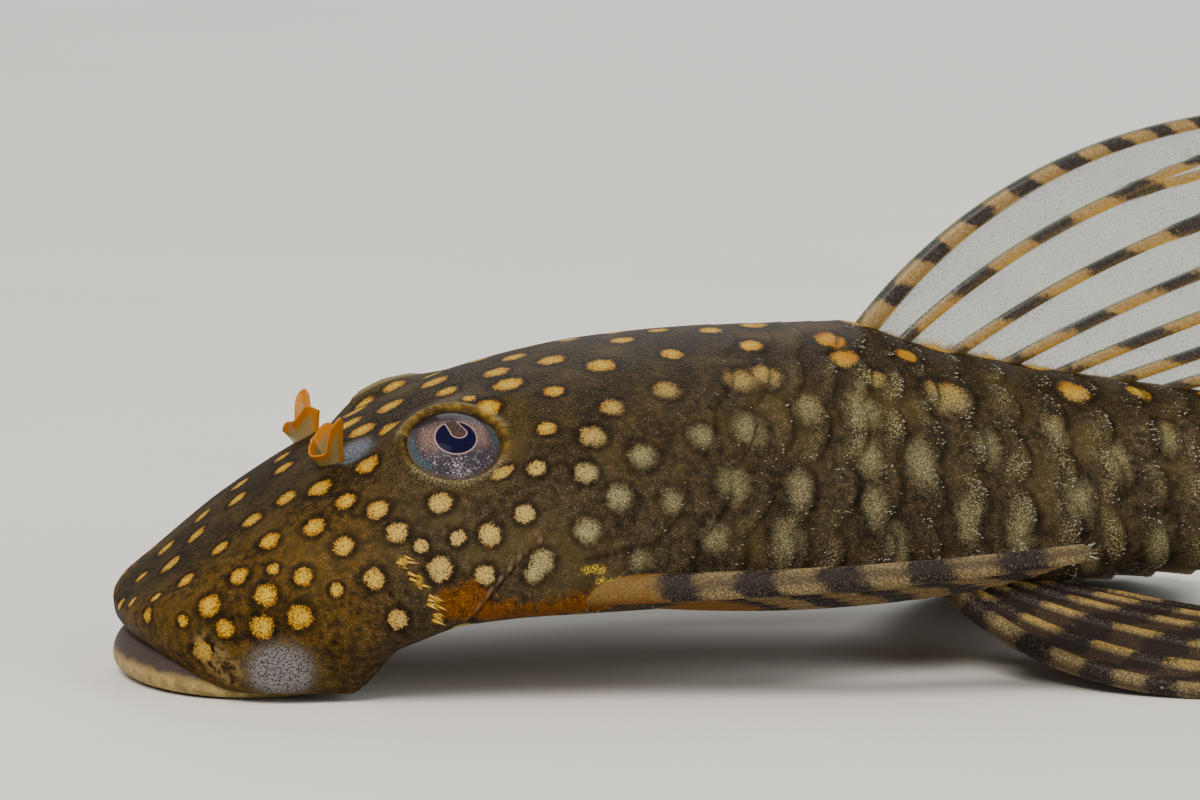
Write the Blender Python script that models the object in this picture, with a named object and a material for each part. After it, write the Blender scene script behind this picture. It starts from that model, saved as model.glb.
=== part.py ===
# A young bristlenose catfish, life size, lying on its mouth, its pelvic fins and its tail fin.
# The fish faces -X, its left side is at -Y, and the floor it lies on is at Z = 0.
# Stations are millimetres along the fish from the tip of its snout, as drawn on a fish of 61 mm
# standard length (the snout to the end of the tail stalk), and SCALE makes another size of it.

import math
import random

import bpy
import bmesh
import numpy as np
from mathutils import Matrix, Vector

STANDARD_LENGTH = 61.0
DRAWN_LENGTH = 61.0
SCALE = STANDARD_LENGTH / DRAWN_LENGTH
MM = 0.001
GAP = 0.3 / SCALE
SEED = 7

# The body's outline, as (station, millimetres) pairs
BACK_LINE = (
    (0, 2.8), (0.3, 3.1), (1.5, 4.1), (4.5, 6.65), (8.2, 8.9), (13, 10.95), (18, 12.0),
    (22, 12.3), (27.2, 12.35), (30, 11.45), (41, 9.35), (51, 7.9), (DRAWN_LENGTH, 7.4),
)  # fmt: skip
BELLY_LINE = (
    (0, 2.5), (0.3, 2.2), (1, 1.8), (2.5, 1.15), (4, 0.75), (7.5, 0.8), (9.5, 1.7), (11.5, 2.5),
    (15, 2.8), (30, 2.8), (38, 2.9), (44, 2.6), (52, 1.8), (DRAWN_LENGTH, 1.35),
)  # fmt: skip
HALF_WIDTH = (
    (0, 1.5), (0.25, 2.9), (1, 4.7), (2.2, 6.0), (4, 7.05), (7, 8.1), (11, 9.2), (15, 9.9),
    (18, 9.7), (22, 8.8), (27, 7.7), (34, 6.3), (41, 4.8), (50, 3.1), (57, 2.0), (DRAWN_LENGTH, 1.6),
)  # fmt: skip
WIDEST_LEVEL = (
    (0, 2.9), (4, 3.5), (8, 3.8), (14, 4.2), (20, 4.6), (41, 4.9), (50, 4.6), (DRAWN_LENGTH, 4.35),
)  # fmt: skip

# How square the body's section is, above and below its widest level, with 2 for an oval
ROUND_ABOVE = ((0, 2.0), (8, 2.05), (15, 2.0), (27, 1.8), (41, 1.95), (DRAWN_LENGTH, 2.4))
ROUND_BELOW = ((0, 2.2), (3, 3.6), (8, 3.8), (14, 3.2), (34, 3.2), (50, 2.5), (DRAWN_LENGTH, 2.3))

# The slant of the cut behind the skull, and how it dies away along the body
HEAD_END = 16.6
SLANT = 0.75
SLANT_LEVEL = 7.0
SLANT_START = 7.0
SLANT_END = 34.0

# Rings of the smooth head, and where the trunk is parted
SNOUT_STATIONS = (0, 0.12, 0.35, 0.75, 1.3, 2.0, 2.9)
HEAD_RINGS = 15
HEAD_AROUND = 21
ROOM_RINGS = 30
TRUNK_SPLIT = 30.7
TAIL_START = 43.4

# Bony plates in five rows on each side, each highest and furthest back at its middle
PLATE_PITCH = 1.73
PLATE_RISE = 0.26
PLATE_BULGE = 0.5
PLATE_STEP = 0.16
PLATE_SIDES = 0.4
ROW_EDGES_TRUNK = (0.035, 0.16, 0.29, 0.41, 0.52, 0.62)
ROW_EDGES_TAIL = (0.035, 0.22, 0.40, 0.58, 0.77, 0.94)
ROWS_LOWER_FROM = 29.0
ROWS_LOWER_TO = 44.0
STEPS_PER_ROW = 3
BELLY_STEPS = 3

# Head pieces
EYE_AT = (11.5, 5.6, 8.78)
EYE_TILT = math.radians(51)
EYE_RADIUS = 2.3
EYE_SUNK = 1.6
ORBIT_FLAT = 1.7
ORBIT_REACH = 4.2
RIM_RADIUS = 1.88
RIM_THICK = 0.28
NOSTRIL_STATION = 7.5
NOSTRIL_SHARE = 0.135
NOSTRIL_BEHIND = 1.15
NOSTRIL_RADII = (0.75, 0.5, 0.6)
FLAP_HEIGHTS = (0.7, 1.15, 1.75, 1.2, 1.0, 1.6, 0.8)
FLAP_LEVELS = (0.0, 0.35, 0.7, 1.0)
FLAP_SUNK = 0.45
FLAP_CURL = 0.62
FLAP_FLARE = 0.45
FLAP_TURN = math.radians(70)
FLAP_LEAN = (0.42, -0.15, -1)
FLAP_HALF = 0.25
LIP_CENTRE = 4.4
LIP_LENGTH = 3.75
LIP_WIDTH = 4.5
LIP_ENDS = math.radians(80)
LIP_THICK = 0.6
LIP_SWELL = 0.14
LIP_LEVEL = 0.5
LIP_RISE = 0.65
LIP_RINGS = 19
LIP_SIDES = 10
LOWER_LIP_AT = (5.6, 0, 0.3)
LOWER_LIP_RADII = (3.3, 4.95, 1.15)
GAPE_AT = 3.9
GAPE_RADII = (1.55, 3.3)
MOUTH_HOLLOW = 1.9

# The gill cover: its front and rear edges from top to bottom, and the short cheek spines on it
GILL_FRONT = ((0, 10.8), (0.3, 9.5), (0.65, 8.9), (1, 9.2))
GILL_REAR = ((0, 12.5), (0.2, 13.7), (0.33, 13.95), (0.5, 13.1), (0.7, 12.3), (1, 11.3))
GILL_TOP = 0.42
GILL_BOTTOM = 0.592
GILL_THICK = 0.9
GILL_STEPS = 7
SHARE_PER_MM = 0.038
CHEEK_SPINES = 10
SPINE_LENGTH = 1.5
SPINE_BASE = 0.26
SPINE_TIP = 0.04
SPINE_LEAN = (0.85, 0.55, -0.25)
SPINE_FRONT = 9.75
SPINE_BOW = 0.6
SPINE_TOP = 0.478
SPINE_BOTTOM = 0.568

# Finishes: name, colour, roughness
SKIN = ("skin", (0.075, 0.05, 0.032), 0.42)
FIN = ("fin", (0.36, 0.26, 0.13), 0.4)
LIP = ("lip", (0.42, 0.36, 0.28), 0.45)
EYE = ("eye", (0.02, 0.02, 0.045), 0.08)

# The way the right eye looks
EYE_LOOK = np.array([-0.06, math.cos(EYE_TILT), math.sin(EYE_TILT)])
EYE_LOOK = EYE_LOOK / np.linalg.norm(EYE_LOOK)

# Fins, each as three key rays, leading, middle and trailing, of three points from root to tip
WEB_HALF = 0.26 / SCALE
RAY_TAPER = 0.45
WEB_TAPER = 0.35
RIDGE_WIDTH = 1.25
RIDGE_SHARE = 0.36
FIN_RIM = 0.55
SCALLOP = 0.05
DORSAL_RAYS = (
    ((27.6, 0, 11.6), (34.9, 0, 17.45), (44.0, 0, 20.0)),
    ((34.3, 0, 10.2), (41.6, 0, 13.1), (48.8, 0, 15.2)),
    ((41.6, 0, 9.0), (45.9, 0, 9.95), (50.0, 0, 10.4)),
)
ADIPOSE_RAYS = (
    ((51.2, 0, 7.4), (52.9, 0, 9.4), (54.6, 0, 10.5)),
    ((52.3, 0, 7.2), (53.6, 0, 8.7), (55.1, 0, 9.8)),
    ((53.6, 0, 7.1), (54.6, 0, 7.9), (55.6, 0, 8.3)),
)
CAUDAL_RAYS = (
    ((60.0, 0, 6.9), (67.5, 0, 9.7), (75.0, 0, 11.8)),
    ((60.0, 0, 4.3), (66.5, 0, 4.6), (73.0, 0, 5.2)),
    ((60.0, 0, 1.8), (68.5, 0, 0.75), (78.0, 0, 0.05)),
)
ANAL_RAYS = (
    ((42.2, 0, 3.3), (45.0, 0, 1.3), (48.6, 0, 0.45)),
    ((43.6, 0, 3.3), (46.6, 0, 1.9), (50.2, 0, 0.8)),
    ((45.2, 0, 3.2), (48.0, 0, 2.2), (50.6, 0, 1.5)),
)
PECTORAL_RAYS = (
    ((14.3, 8.6, 4.1), (24.0, 11.6, 4.75), (33.6, 12.6, 5.6)),
    ((15.9, 8.2, 3.75), (24.0, 10.0, 3.9), (31.4, 10.2, 4.2)),
    ((17.3, 7.9, 3.5), (22.3, 8.8, 3.3), (27.2, 8.7, 3.4)),
)
PELVIC_RAYS = (
    ((29.4, 4.4, 3.4), (33.4, 10.6, 0.75), (40.4, 13.8, 0.3)),
    ((31.0, 4.3, 3.4), (36.9, 8.8, 1.9), (43.9, 11.2, 1.15)),
    ((32.6, 4.0, 3.4), (37.8, 5.9, 2.3), (42.4, 6.6, 1.7)),
)


def through(stations):
    """A smooth line through (station, value) pairs that never swings past them."""
    x, y = (np.array(column, float) for column in zip(*stations))
    step = np.diff(x)
    slope = np.diff(y) / step
    tangent = np.concatenate([slope[:1], np.zeros(len(x) - 2), slope[-1:]])
    for i in range(1, len(x) - 1):
        if slope[i - 1] * slope[i] > 0:
            near, far = 2 * step[i] + step[i - 1], step[i] + 2 * step[i - 1]
            tangent[i] = (near + far) / (near / slope[i - 1] + far / slope[i])

    def value(at):
        at = np.clip(at, x[0], x[-1])
        i = np.clip(np.searchsorted(x, at) - 1, 0, len(step) - 1)
        u = (at - x[i]) / step[i]
        return (
            y[i] * (1 + 2 * u) * (1 - u) ** 2
            + y[i + 1] * u * u * (3 - 2 * u)
            + step[i] * (tangent[i] * u * (1 - u) ** 2 - tangent[i + 1] * u * u * (1 - u))
        )

    return value


def eased(low, high, at):
    """0 before low, 1 after high, and a smooth rise between them."""
    u = np.clip((at - low) / (high - low), 0, 1)
    return u * u * (3 - 2 * u)


back_line = through(BACK_LINE)
belly_line = through(BELLY_LINE)
half_width = through(HALF_WIDTH)
widest_level = through(WIDEST_LEVEL)
round_above = through(ROUND_ABOVE)
round_below = through(ROUND_BELOW)
gill_front = through(GILL_FRONT)
gill_rear = through(GILL_REAR)
SECTION_TURN = np.linspace(0, math.pi, 61)


def side_of_body(x, share):
    """(out, up) of the body's smooth side at a station, a share of the way from back to belly."""
    above = SECTION_TURN <= math.pi / 2
    roundness = np.where(above, round_above(x), round_below(x))
    level = widest_level(x)
    reach = np.where(above, back_line(x) - level, level - belly_line(x))
    out = half_width(x) * np.abs(np.sin(SECTION_TURN)) ** (2 / roundness)
    up = level + reach * np.sign(np.cos(SECTION_TURN)) * np.abs(np.cos(SECTION_TURN)) ** (2 / roundness)
    along = np.concatenate([[0], np.cumsum(np.hypot(np.diff(out), np.diff(up)))])
    return np.interp(share, along / along[-1], out), np.interp(share, along / along[-1], up)


def slanted_station(station, share):
    """Where along the body the slanted ring of a station crosses this share of the side."""
    rise = eased(SLANT_START, HEAD_END, station) * (1 - eased(HEAD_END, SLANT_END, station))
    x = station
    for _ in range(6):
        x = station + SLANT * rise * (side_of_body(x, share)[1] - SLANT_LEVEL)
    return x


def skin_point(x, share, side, lift=0.0):
    """A point on the body's skin, moved out from the surface by lift."""
    out, up = side_of_body(x, share)
    ahead, astern = side_of_body(x - 0.2, share), side_of_body(x + 0.2, share)
    higher, lower = side_of_body(x, max(share - 0.01, 0)), side_of_body(x, min(share + 0.01, 1))
    along = np.array([0.4, astern[0] - ahead[0], astern[1] - ahead[1]])
    down = np.array([0, lower[0] - higher[0], lower[1] - higher[1]])
    normal = np.cross(along, down)
    normal = normal / np.linalg.norm(normal)
    if share in (0, 1):
        normal[1] = 0
    point = np.array([x, out, up]) + lift * normal
    off = point - EYE_AT
    near = 1 - eased(ORBIT_FLAT, ORBIT_REACH, np.linalg.norm(off))
    if near > 0 and share not in (0, 1):
        point = point - near * (off @ EYE_LOOK - lift) * EYE_LOOK
    return point * (1, side, 1)


def body_point(station, share, side, shift=0.0, lift=0.0):
    """A point on the slanted ring of a station, moved back along the skin by shift."""
    return skin_point(slanted_station(station, share) + shift, share, side, lift)


def row_edges(station):
    """Where the five rows of plates meet, as shares of the side."""
    lower = eased(ROWS_LOWER_FROM, ROWS_LOWER_TO, station)
    return np.array(ROW_EDGES_TRUNK) * (1 - lower) + np.array(ROW_EDGES_TAIL) * lower


def plated_ring(station, raised, curved):
    """A ring of the plated body: raised 1 at a plate's rear edge and 0 at its front, curved 1 where
    the plates' edges bow back and 0 where a cut leaves them flat."""
    edges = row_edges(station)
    half = [(0.0, 0.0, 0.0), (edges[0], PLATE_SIDES, 0.0)]
    for low, high in zip(edges[:-1], edges[1:]):
        for k in range(1, STEPS_PER_ROW + 1):
            across = k / STEPS_PER_ROW
            arch = 1 - (2 * across - 1) ** 2
            height = PLATE_SIDES + (1 - PLATE_SIDES) * arch
            half.append((low + (high - low) * across, height, arch))
    for k in range(1, BELLY_STEPS + 1):
        half.append((edges[-1] + (1 - edges[-1]) * k / BELLY_STEPS, 0.0, 0.0))
    ring = []
    for side, places in ((-1, half), (1, half[-2:0:-1])):
        for share, height, bow in places:
            shift = PLATE_BULGE * bow * curved
            ring.append(body_point(station, share, side, shift, PLATE_RISE * height * raised))
    return ring


def plated_rings(start, end):
    """Rings of a length of plated body, each plate rising to its rear edge and dropping to the next."""
    count = round((end - start) / PLATE_PITCH)
    rings = [plated_ring(start, 0, 0)]
    for k in range(1, count + 1):
        station = start + (end - start) * k / count
        rings.append(plated_ring(station, 1, float(k < count)))
        if k < count:
            rings.append(plated_ring(station + PLATE_STEP, 0, 1))
    return rings


def smooth_rings(stations, grow=lambda station: 0.0):
    """Rings of the body without its plates."""
    shares = np.linspace(0, 1, HEAD_AROUND)
    rings = []
    for station in stations:
        left = [body_point(station, s, -1, lift=grow(station)) for s in shares]
        right = [body_point(station, s, 1, lift=grow(station)) for s in shares[-2:0:-1]]
        rings.append(left + right)
    return rings


def head_stations():
    """Stations of the head, close together at the blunt snout."""
    first = 2 * SNOUT_STATIONS[-1] - SNOUT_STATIONS[-2]
    return [*SNOUT_STATIONS, *np.linspace(first, HEAD_END, HEAD_RINGS)]


def fin_room():
    """The space the body takes out of the fins' roots, with the gap they stand off it."""
    stations = [*head_stations()[:-1], *np.linspace(HEAD_END, DRAWN_LENGTH + GAP, ROOM_RINGS)]

    def grow(station):
        return GAP + 0.5 * PLATE_RISE * eased(HEAD_END - 2, HEAD_END, station)

    return loft("fin_room", smooth_rings(stations, grow=grow), "cutters")


def new_object(name, mesh, collection="fish"):
    obj = bpy.data.objects.new(name, mesh)
    if collection not in bpy.data.collections:
        bpy.context.scene.collection.children.link(bpy.data.collections.new(collection))
    bpy.data.collections[collection].objects.link(obj)
    if collection == "cutters":
        obj.hide_render = True
        obj.display_type = "WIRE"
    return obj


def mesh_from(bm, name):
    """The finished mesh in metres, its faces pointing out."""
    bmesh.ops.recalc_face_normals(bm, faces=bm.faces)
    bmesh.ops.scale(bm, vec=Vector((SCALE * MM,) * 3), verts=bm.verts)
    mesh = bpy.data.meshes.new(name)
    bm.to_mesh(mesh)
    bm.free()
    return mesh


def loft(name, rings, collection="fish"):
    """A closed body through rings of equally many points, capped at both ends."""
    bm = bmesh.new()
    verts = [[bm.verts.new(p) for p in ring] for ring in rings]
    for first, second in zip(verts[:-1], verts[1:]):
        for i in range(len(first)):
            j = (i + 1) % len(first)
            bm.faces.new((first[i], first[j], second[j], second[i]))
    bm.faces.new(verts[0])
    bm.faces.new(verts[-1])
    return new_object(name, mesh_from(bm, name), collection)


def thick_sheet(name, grid, halves, collection="fish"):
    """A closed sheet round a grid of points, as thick each way as halves says. Both faces are split
    into the same triangles."""
    points = np.array(grid, float)
    normals = np.cross(np.gradient(points, axis=0), np.gradient(points, axis=1))
    normals /= np.linalg.norm(normals, axis=2, keepdims=True)
    offset = normals * np.array(halves, float)[:, :, None]
    rows, columns = points.shape[:2]
    bm = bmesh.new()
    faces = [[[bm.verts.new(p) for p in row] for row in points + way * offset] for way in (1, -1)]
    for face in faces:
        for i in range(rows - 1):
            for j in range(columns - 1):
                a, b = face[i][j], face[i][j + 1]
                c, d = face[i + 1][j + 1], face[i + 1][j]
                bm.faces.new((a, b, c))
                bm.faces.new((a, c, d))
    border = [(0, j) for j in range(columns)] + [(i, columns - 1) for i in range(1, rows)]
    border += [(rows - 1, j) for j in range(columns - 2, -1, -1)] + [(i, 0) for i in range(rows - 2, 0, -1)]
    for (i, j), (k, m) in zip(border, border[1:] + border[:1]):
        bm.faces.new((faces[0][i][j], faces[0][k][m], faces[1][k][m], faces[1][i][j]))
    return new_object(name, mesh_from(bm, name), collection)


def quadratic(three, at):
    """The smooth line through three points, at 0 the first, at 0.5 the second and at 1 the third."""
    first, second, third = (np.array(p, float) for p in three)
    return first * (2 * at - 1) * (at - 1) + second * 4 * at * (1 - at) + third * at * (2 * at - 1)


def fin(name, keys, rays, spine, ray, side=1, steps=7):
    """A fin of that many rays fanned through three key rays. spine and ray are the half widths of
    the leading spine and of the soft rays, which stand as ridges in the fin's own surface."""
    mirrored = [[(x, y * side, z) for x, y, z in key] for key in keys]

    def at(across, along):
        return quadratic([quadratic(key, along) for key in mirrored], across)

    grid, halves = [], []
    for row in range(steps):
        along = row / (steps - 1)
        points, thick = [], []
        for k in range(rays):
            across = k / (rays - 1)
            half = (spine if k == 0 else ray) * (1 - RAY_TAPER * along)
            web = min(WEB_HALF, half) * (1 - WEB_TAPER * along**3)
            spread = np.linalg.norm(at(across + 0.01, along) - at(across - 0.01, along)) / 0.02
            wide = min(RIDGE_WIDTH * half / spread, RIDGE_SHARE / (rays - 1))
            for place in (-1, 0, 1):
                rim = (k == 0 and place == -1) or (k == rays - 1 and place == 1)
                reach = along * (1 - SCALLOP * abs(place) * along**4)
                points.append(at(across + place * wide, reach))
                thick.append(half if place == 0 else FIN_RIM * half if rim else web)
        grid.append(points)
        halves.append(thick)
    return thick_sheet(name, grid, halves)


def combine(obj, others, operation, solver="EXACT"):
    """Joins others to obj, or cuts it with them, applied in code. Joined pieces are removed."""
    pool = bpy.data.collections.new("pool")
    bpy.context.scene.collection.children.link(pool)
    for other in others:
        pool.objects.link(other)
    boolean = obj.modifiers.new(operation.title(), "BOOLEAN")
    boolean.operation = operation
    boolean.operand_type = "COLLECTION"
    boolean.collection = pool
    boolean.solver = solver
    bpy.context.view_layer.update()
    graph = bpy.context.evaluated_depsgraph_get()
    made = bpy.data.meshes.new_from_object(obj.evaluated_get(graph))
    obj.modifiers.clear()
    obj.data = made
    bpy.data.collections.remove(pool)
    if operation == "UNION":
        for other in others:
            bpy.data.objects.remove(other)
    keep_largest(obj)
    return obj


def keep_largest(obj):
    """Keeps the largest closed surface of a mesh and drops loose scraps."""
    bm = bmesh.new()
    bm.from_mesh(obj.data)
    left, islands = set(bm.verts), []
    while left:
        island, edge = set(), [left.pop()]
        while edge:
            vert = edge.pop()
            island.add(vert)
            near = {e.other_vert(vert) for e in vert.link_edges} & left
            left -= near
            edge.extend(near)
        islands.append(island)
    islands.sort(key=lambda island: max(v.co.x for v in island) - min(v.co.x for v in island))
    for island in islands[:-1]:
        bmesh.ops.delete(bm, geom=list(island), context="VERTS")
    bm.to_mesh(obj.data)
    bm.free()


def ball(name, centre, radius, collection="fish", segments=20, rings=12):
    bm = bmesh.new()
    bmesh.ops.create_uvsphere(bm, u_segments=segments, v_segments=rings, radius=1)
    bmesh.ops.scale(bm, vec=Vector(np.broadcast_to(radius, 3)), verts=bm.verts)
    bmesh.ops.translate(bm, vec=Vector(centre), verts=bm.verts)
    return new_object(name, mesh_from(bm, name), collection)


def block(name, low, high):
    """A box cutter between two corners."""
    bm = bmesh.new()
    bmesh.ops.create_cube(bm, size=1)
    bmesh.ops.scale(bm, vec=Vector(high) - Vector(low), verts=bm.verts)
    bmesh.ops.translate(bm, vec=(Vector(high) + Vector(low)) / 2, verts=bm.verts)
    return new_object(name, mesh_from(bm, name), "cutters")


def drum(name, middle, radii, low, high):
    """An upright oval cylinder cutter on the fish's middle line."""
    bm = bmesh.new()
    bmesh.ops.create_cone(bm, cap_ends=True, segments=28, radius1=1, radius2=1, depth=1)
    bmesh.ops.scale(bm, vec=Vector((*radii, high - low)), verts=bm.verts)
    bmesh.ops.translate(bm, vec=Vector((middle, 0, (high + low) / 2)), verts=bm.verts)
    return new_object(name, mesh_from(bm, name), "cutters")


def outward(side):
    """The way the eye on that side looks."""
    return Vector(EYE_LOOK * (1, side, 1))


def eye_centre(side):
    return Vector((EYE_AT[0], EYE_AT[1] * side, EYE_AT[2])) - outward(side) * EYE_SUNK


def orbit_rim(side):
    """The raised ring of skin round an eye."""
    bpy.ops.mesh.primitive_torus_add(
        major_segments=22, minor_segments=6, major_radius=RIM_RADIUS, minor_radius=RIM_THICK
    )
    made = bpy.context.active_object
    bm = bmesh.new()
    bm.from_mesh(made.data)
    bpy.data.objects.remove(made)
    turn = outward(side).to_track_quat("Z", "Y").to_matrix().to_4x4()
    place = Matrix.Translation(Vector(EYE_AT) * Vector((1, side, 1)))
    bmesh.ops.transform(bm, matrix=place @ turn, verts=bm.verts)
    return new_object("orbit_rim", mesh_from(bm, "orbit_rim"))


def nasal_flap(side):
    """The curled flap of skin between a nostril's two openings, with its prongs."""
    root = body_point(NOSTRIL_STATION, NOSTRIL_SHARE, side, lift=-0.35)
    lean = np.array(FLAP_LEAN) * (1, side, 1)
    lean /= np.linalg.norm(lean)
    turns = np.linspace(-FLAP_TURN, FLAP_TURN, len(FLAP_HEIGHTS))
    grid = []
    for level in FLAP_LEVELS:
        curl = FLAP_CURL * (1 + FLAP_FLARE * level)
        row = []
        for turn, height in zip(turns, FLAP_HEIGHTS):
            bow = np.array([FLAP_CURL - curl * math.cos(turn), curl * math.sin(turn) * side, 0])
            row.append(root + bow - lean * level * (height + FLAP_SUNK))
        grid.append(row)
    halves = [[FLAP_HALF * (1 - 0.35 * level)] * len(FLAP_HEIGHTS) for level in FLAP_LEVELS]
    return thick_sheet("nasal_flap", grid, halves)


def gill_sheet(name, side, grow=0.0, reach=0.0, collection="fish"):
    """The slab that a gill cover takes out of the head, or that slab grown and reaching outside."""
    low, high = -GILL_THICK - grow, reach
    grid = []
    for down in np.linspace(0, 1, GILL_STEPS):
        share = GILL_TOP + (GILL_BOTTOM - GILL_TOP) * down + (2 * down - 1) * grow * SHARE_PER_MM
        stations = np.linspace(gill_front(down) - grow, gill_rear(down) + grow, GILL_STEPS)
        grid.append([skin_point(x, share, side, (low + high) / 2) for x in stations])
    halves = np.full((GILL_STEPS, GILL_STEPS), (high - low) / 2)
    return thick_sheet(name, grid, halves, collection)


def cheek_spine(root, direction, length):
    """A tapering spine of few sides, its root sunk in what it grows from."""
    way = Vector(direction).normalized()
    bm = bmesh.new()
    bmesh.ops.create_cone(
        bm, cap_ends=True, segments=5, radius1=SPINE_BASE, radius2=SPINE_TIP, depth=length
    )
    turn = way.to_track_quat("Z", "Y").to_matrix().to_4x4()
    place = Matrix.Translation(Vector(root) + way * length / 3)
    bmesh.ops.transform(bm, matrix=place @ turn, verts=bm.verts)
    return new_object("cheek_spine", mesh_from(bm, "cheek_spine"))


def head():
    """The skull and snout, with orbits, nostrils, mouth and room for the gill covers."""
    skull = loft("head", smooth_rings(head_stations()))
    raised = [make(side) for side in (-1, 1) for make in (orbit_rim, nasal_flap)]
    combine(skull, raised, "UNION", "MANIFOLD")
    cutters = [
        upper_lip("upper_lip_room", GAP, "cutters"),
        lower_lip("lower_lip_room", GAP, "cutters"),
        drum("mouth_hollow", GAPE_AT, GAPE_RADII, -2, MOUTH_HOLLOW),
    ]
    for side in (-1, 1):
        cutters.append(ball("socket", eye_centre(side), EYE_RADIUS + GAP, "cutters"))
        hole = skin_point(NOSTRIL_STATION + NOSTRIL_BEHIND, NOSTRIL_SHARE, side, lift=0.25)
        cutters.append(ball("nostril", hole, NOSTRIL_RADII, "cutters", 12, 8))
        cutters.append(gill_sheet("gill_room", side, GAP, GILL_THICK + GAP, "cutters"))
    return combine(skull, cutters, "DIFFERENCE", "MANIFOLD")


def gill_cover(name, side):
    """The gill cover, with the spines of its cheek patch."""
    draw = random.Random(SEED)
    spines = []
    for down in np.linspace(0, 1, CHEEK_SPINES):
        station = SPINE_FRONT + SPINE_BOW * math.sin(math.pi * down) + draw.uniform(0, 0.35)
        place = SPINE_TOP + (SPINE_BOTTOM - SPINE_TOP) * down + draw.uniform(-0.008, 0.008)
        lean = np.array(SPINE_LEAN) * (1, side, 1)
        length = SPINE_LENGTH * draw.uniform(0.75, 1.1)
        spines.append(cheek_spine(skin_point(station, place, side), lean, length))
    return combine(gill_sheet(name, side), spines, "UNION", "MANIFOLD")


def upper_lip(name, grow=0.0, collection="fish"):
    """The front lip, thick and raised at the middle and thinner where it meets the lower lip."""
    ends = LIP_ENDS + grow / LIP_WIDTH
    rolls = np.linspace(0, 2 * math.pi, LIP_SIDES, endpoint=False)[:, None]
    rings = []
    for turn in np.linspace(-ends, ends, LIP_RINGS):
        front = max(math.cos(turn), 0)
        level = LIP_LEVEL + LIP_RISE * front**2
        centre = (LIP_CENTRE - LIP_LENGTH * front, LIP_WIDTH * math.sin(turn), level)
        away = np.array([-front * LIP_WIDTH / LIP_LENGTH, math.sin(turn), 0])
        away /= np.linalg.norm(away)
        thick = LIP_THICK + LIP_SWELL * front + grow
        rings.append(centre + thick * (away * np.cos(rolls) + (0, 0, 1) * np.sin(rolls)))
    return loft(name, rings, collection)


def lower_lip(name, grow=0.0, collection="fish"):
    """The broad rear lip of the sucker, flat where it holds on and hollow at the gape."""
    radii = tuple(radius + grow for radius in LOWER_LIP_RADII)
    lip = ball(name, LOWER_LIP_AT, radii, collection, 28, 14)
    if grow:
        return lip
    front = block("lip_front", (0, -9, -3), (LIP_CENTRE + GAP / 2, 9, 4))
    gape = drum("gape", GAPE_AT, GAPE_RADII, -3, 4)
    return combine(lip, [front, gape], "DIFFERENCE")


def fins():
    """Every fin, before its root is cut to the body."""
    made = [
        fin("dorsal_fin", DORSAL_RAYS, 8, 0.5, 0.38),
        fin("adipose_fin", ADIPOSE_RAYS, 3, 0.42, 0.3, steps=5),
        fin("tail_fin", CAUDAL_RAYS, 14, 0.45, 0.36),
        fin("anal_fin", ANAL_RAYS, 5, 0.36, 0.34, steps=5),
    ]
    for word, side in (("left", -1), ("right", 1)):
        made.append(fin(f"pectoral_fin_{word}", PECTORAL_RAYS, 7, 0.62, 0.36, side))
        made.append(fin(f"pelvic_fin_{word}", PELVIC_RAYS, 6, 0.52, 0.36, side))
    return made


def colour(obj, name, rgb, roughness):
    material = bpy.data.materials.get(name) or bpy.data.materials.new(name)
    material.use_nodes = True
    shader = material.node_tree.nodes["Principled BSDF"]
    shader.inputs["Base Color"].default_value = (*rgb, 1)
    shader.inputs["Roughness"].default_value = roughness
    shader.inputs["Metallic"].default_value = 0.0
    obj.data.materials.clear()
    obj.data.materials.append(material)


def build():
    for obj in list(bpy.data.objects):
        bpy.data.objects.remove(obj)

    skin = [
        head(),
        gill_cover("gill_cover_left", -1),
        gill_cover("gill_cover_right", 1),
        loft("trunk_front", plated_rings(HEAD_END + GAP, TRUNK_SPLIT)),
        loft("trunk_rear", plated_rings(TRUNK_SPLIT + GAP, TAIL_START)),
        loft("tail_stalk", plated_rings(TAIL_START + GAP, DRAWN_LENGTH)),
    ]
    eyes = [
        ball("eye_left", eye_centre(-1), EYE_RADIUS),
        ball("eye_right", eye_centre(1), EYE_RADIUS),
    ]
    floor = block("floor", (-20, -40, -20), (110, 40, 0))
    lips = [
        combine(lip, [floor], "DIFFERENCE") for lip in (upper_lip("upper_lip"), lower_lip("lower_lip"))
    ]
    room = fin_room()
    webs = [combine(web, [room, floor], "DIFFERENCE") for web in fins()]

    for objects, finish in ((skin, SKIN), (eyes, EYE), (lips, LIP), (webs, FIN)):
        for obj in objects:
            colour(obj, *finish)
    for obj in eyes:
        obj.data.shade_smooth()

    whole = skin + eyes + lips + webs
    corners = np.array([v.co for obj in whole for v in obj.data.vertices])
    middle = (corners.min(axis=0) + corners.max(axis=0)) / 2
    for obj in whole:
        obj.data.transform(Matrix.Translation((-middle[0], -middle[1], 0)))


build()
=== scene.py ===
# A young bristlenose catfish, life size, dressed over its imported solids.
# Lengths in the drawing functions are millimetres. A station is how far along the fish a place is
# from the tip of its snout, and a share is how far round its side it is, from back to belly.

import math
import random
from functools import lru_cache

import bmesh
import bpy
import numpy as np
from bpy.props import FloatProperty, FloatVectorProperty, IntProperty, PointerProperty
from bpy.types import Operator, Panel, PropertyGroup
from mathutils import Matrix, Vector
from mathutils.bvhtree import BVHTree


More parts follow.
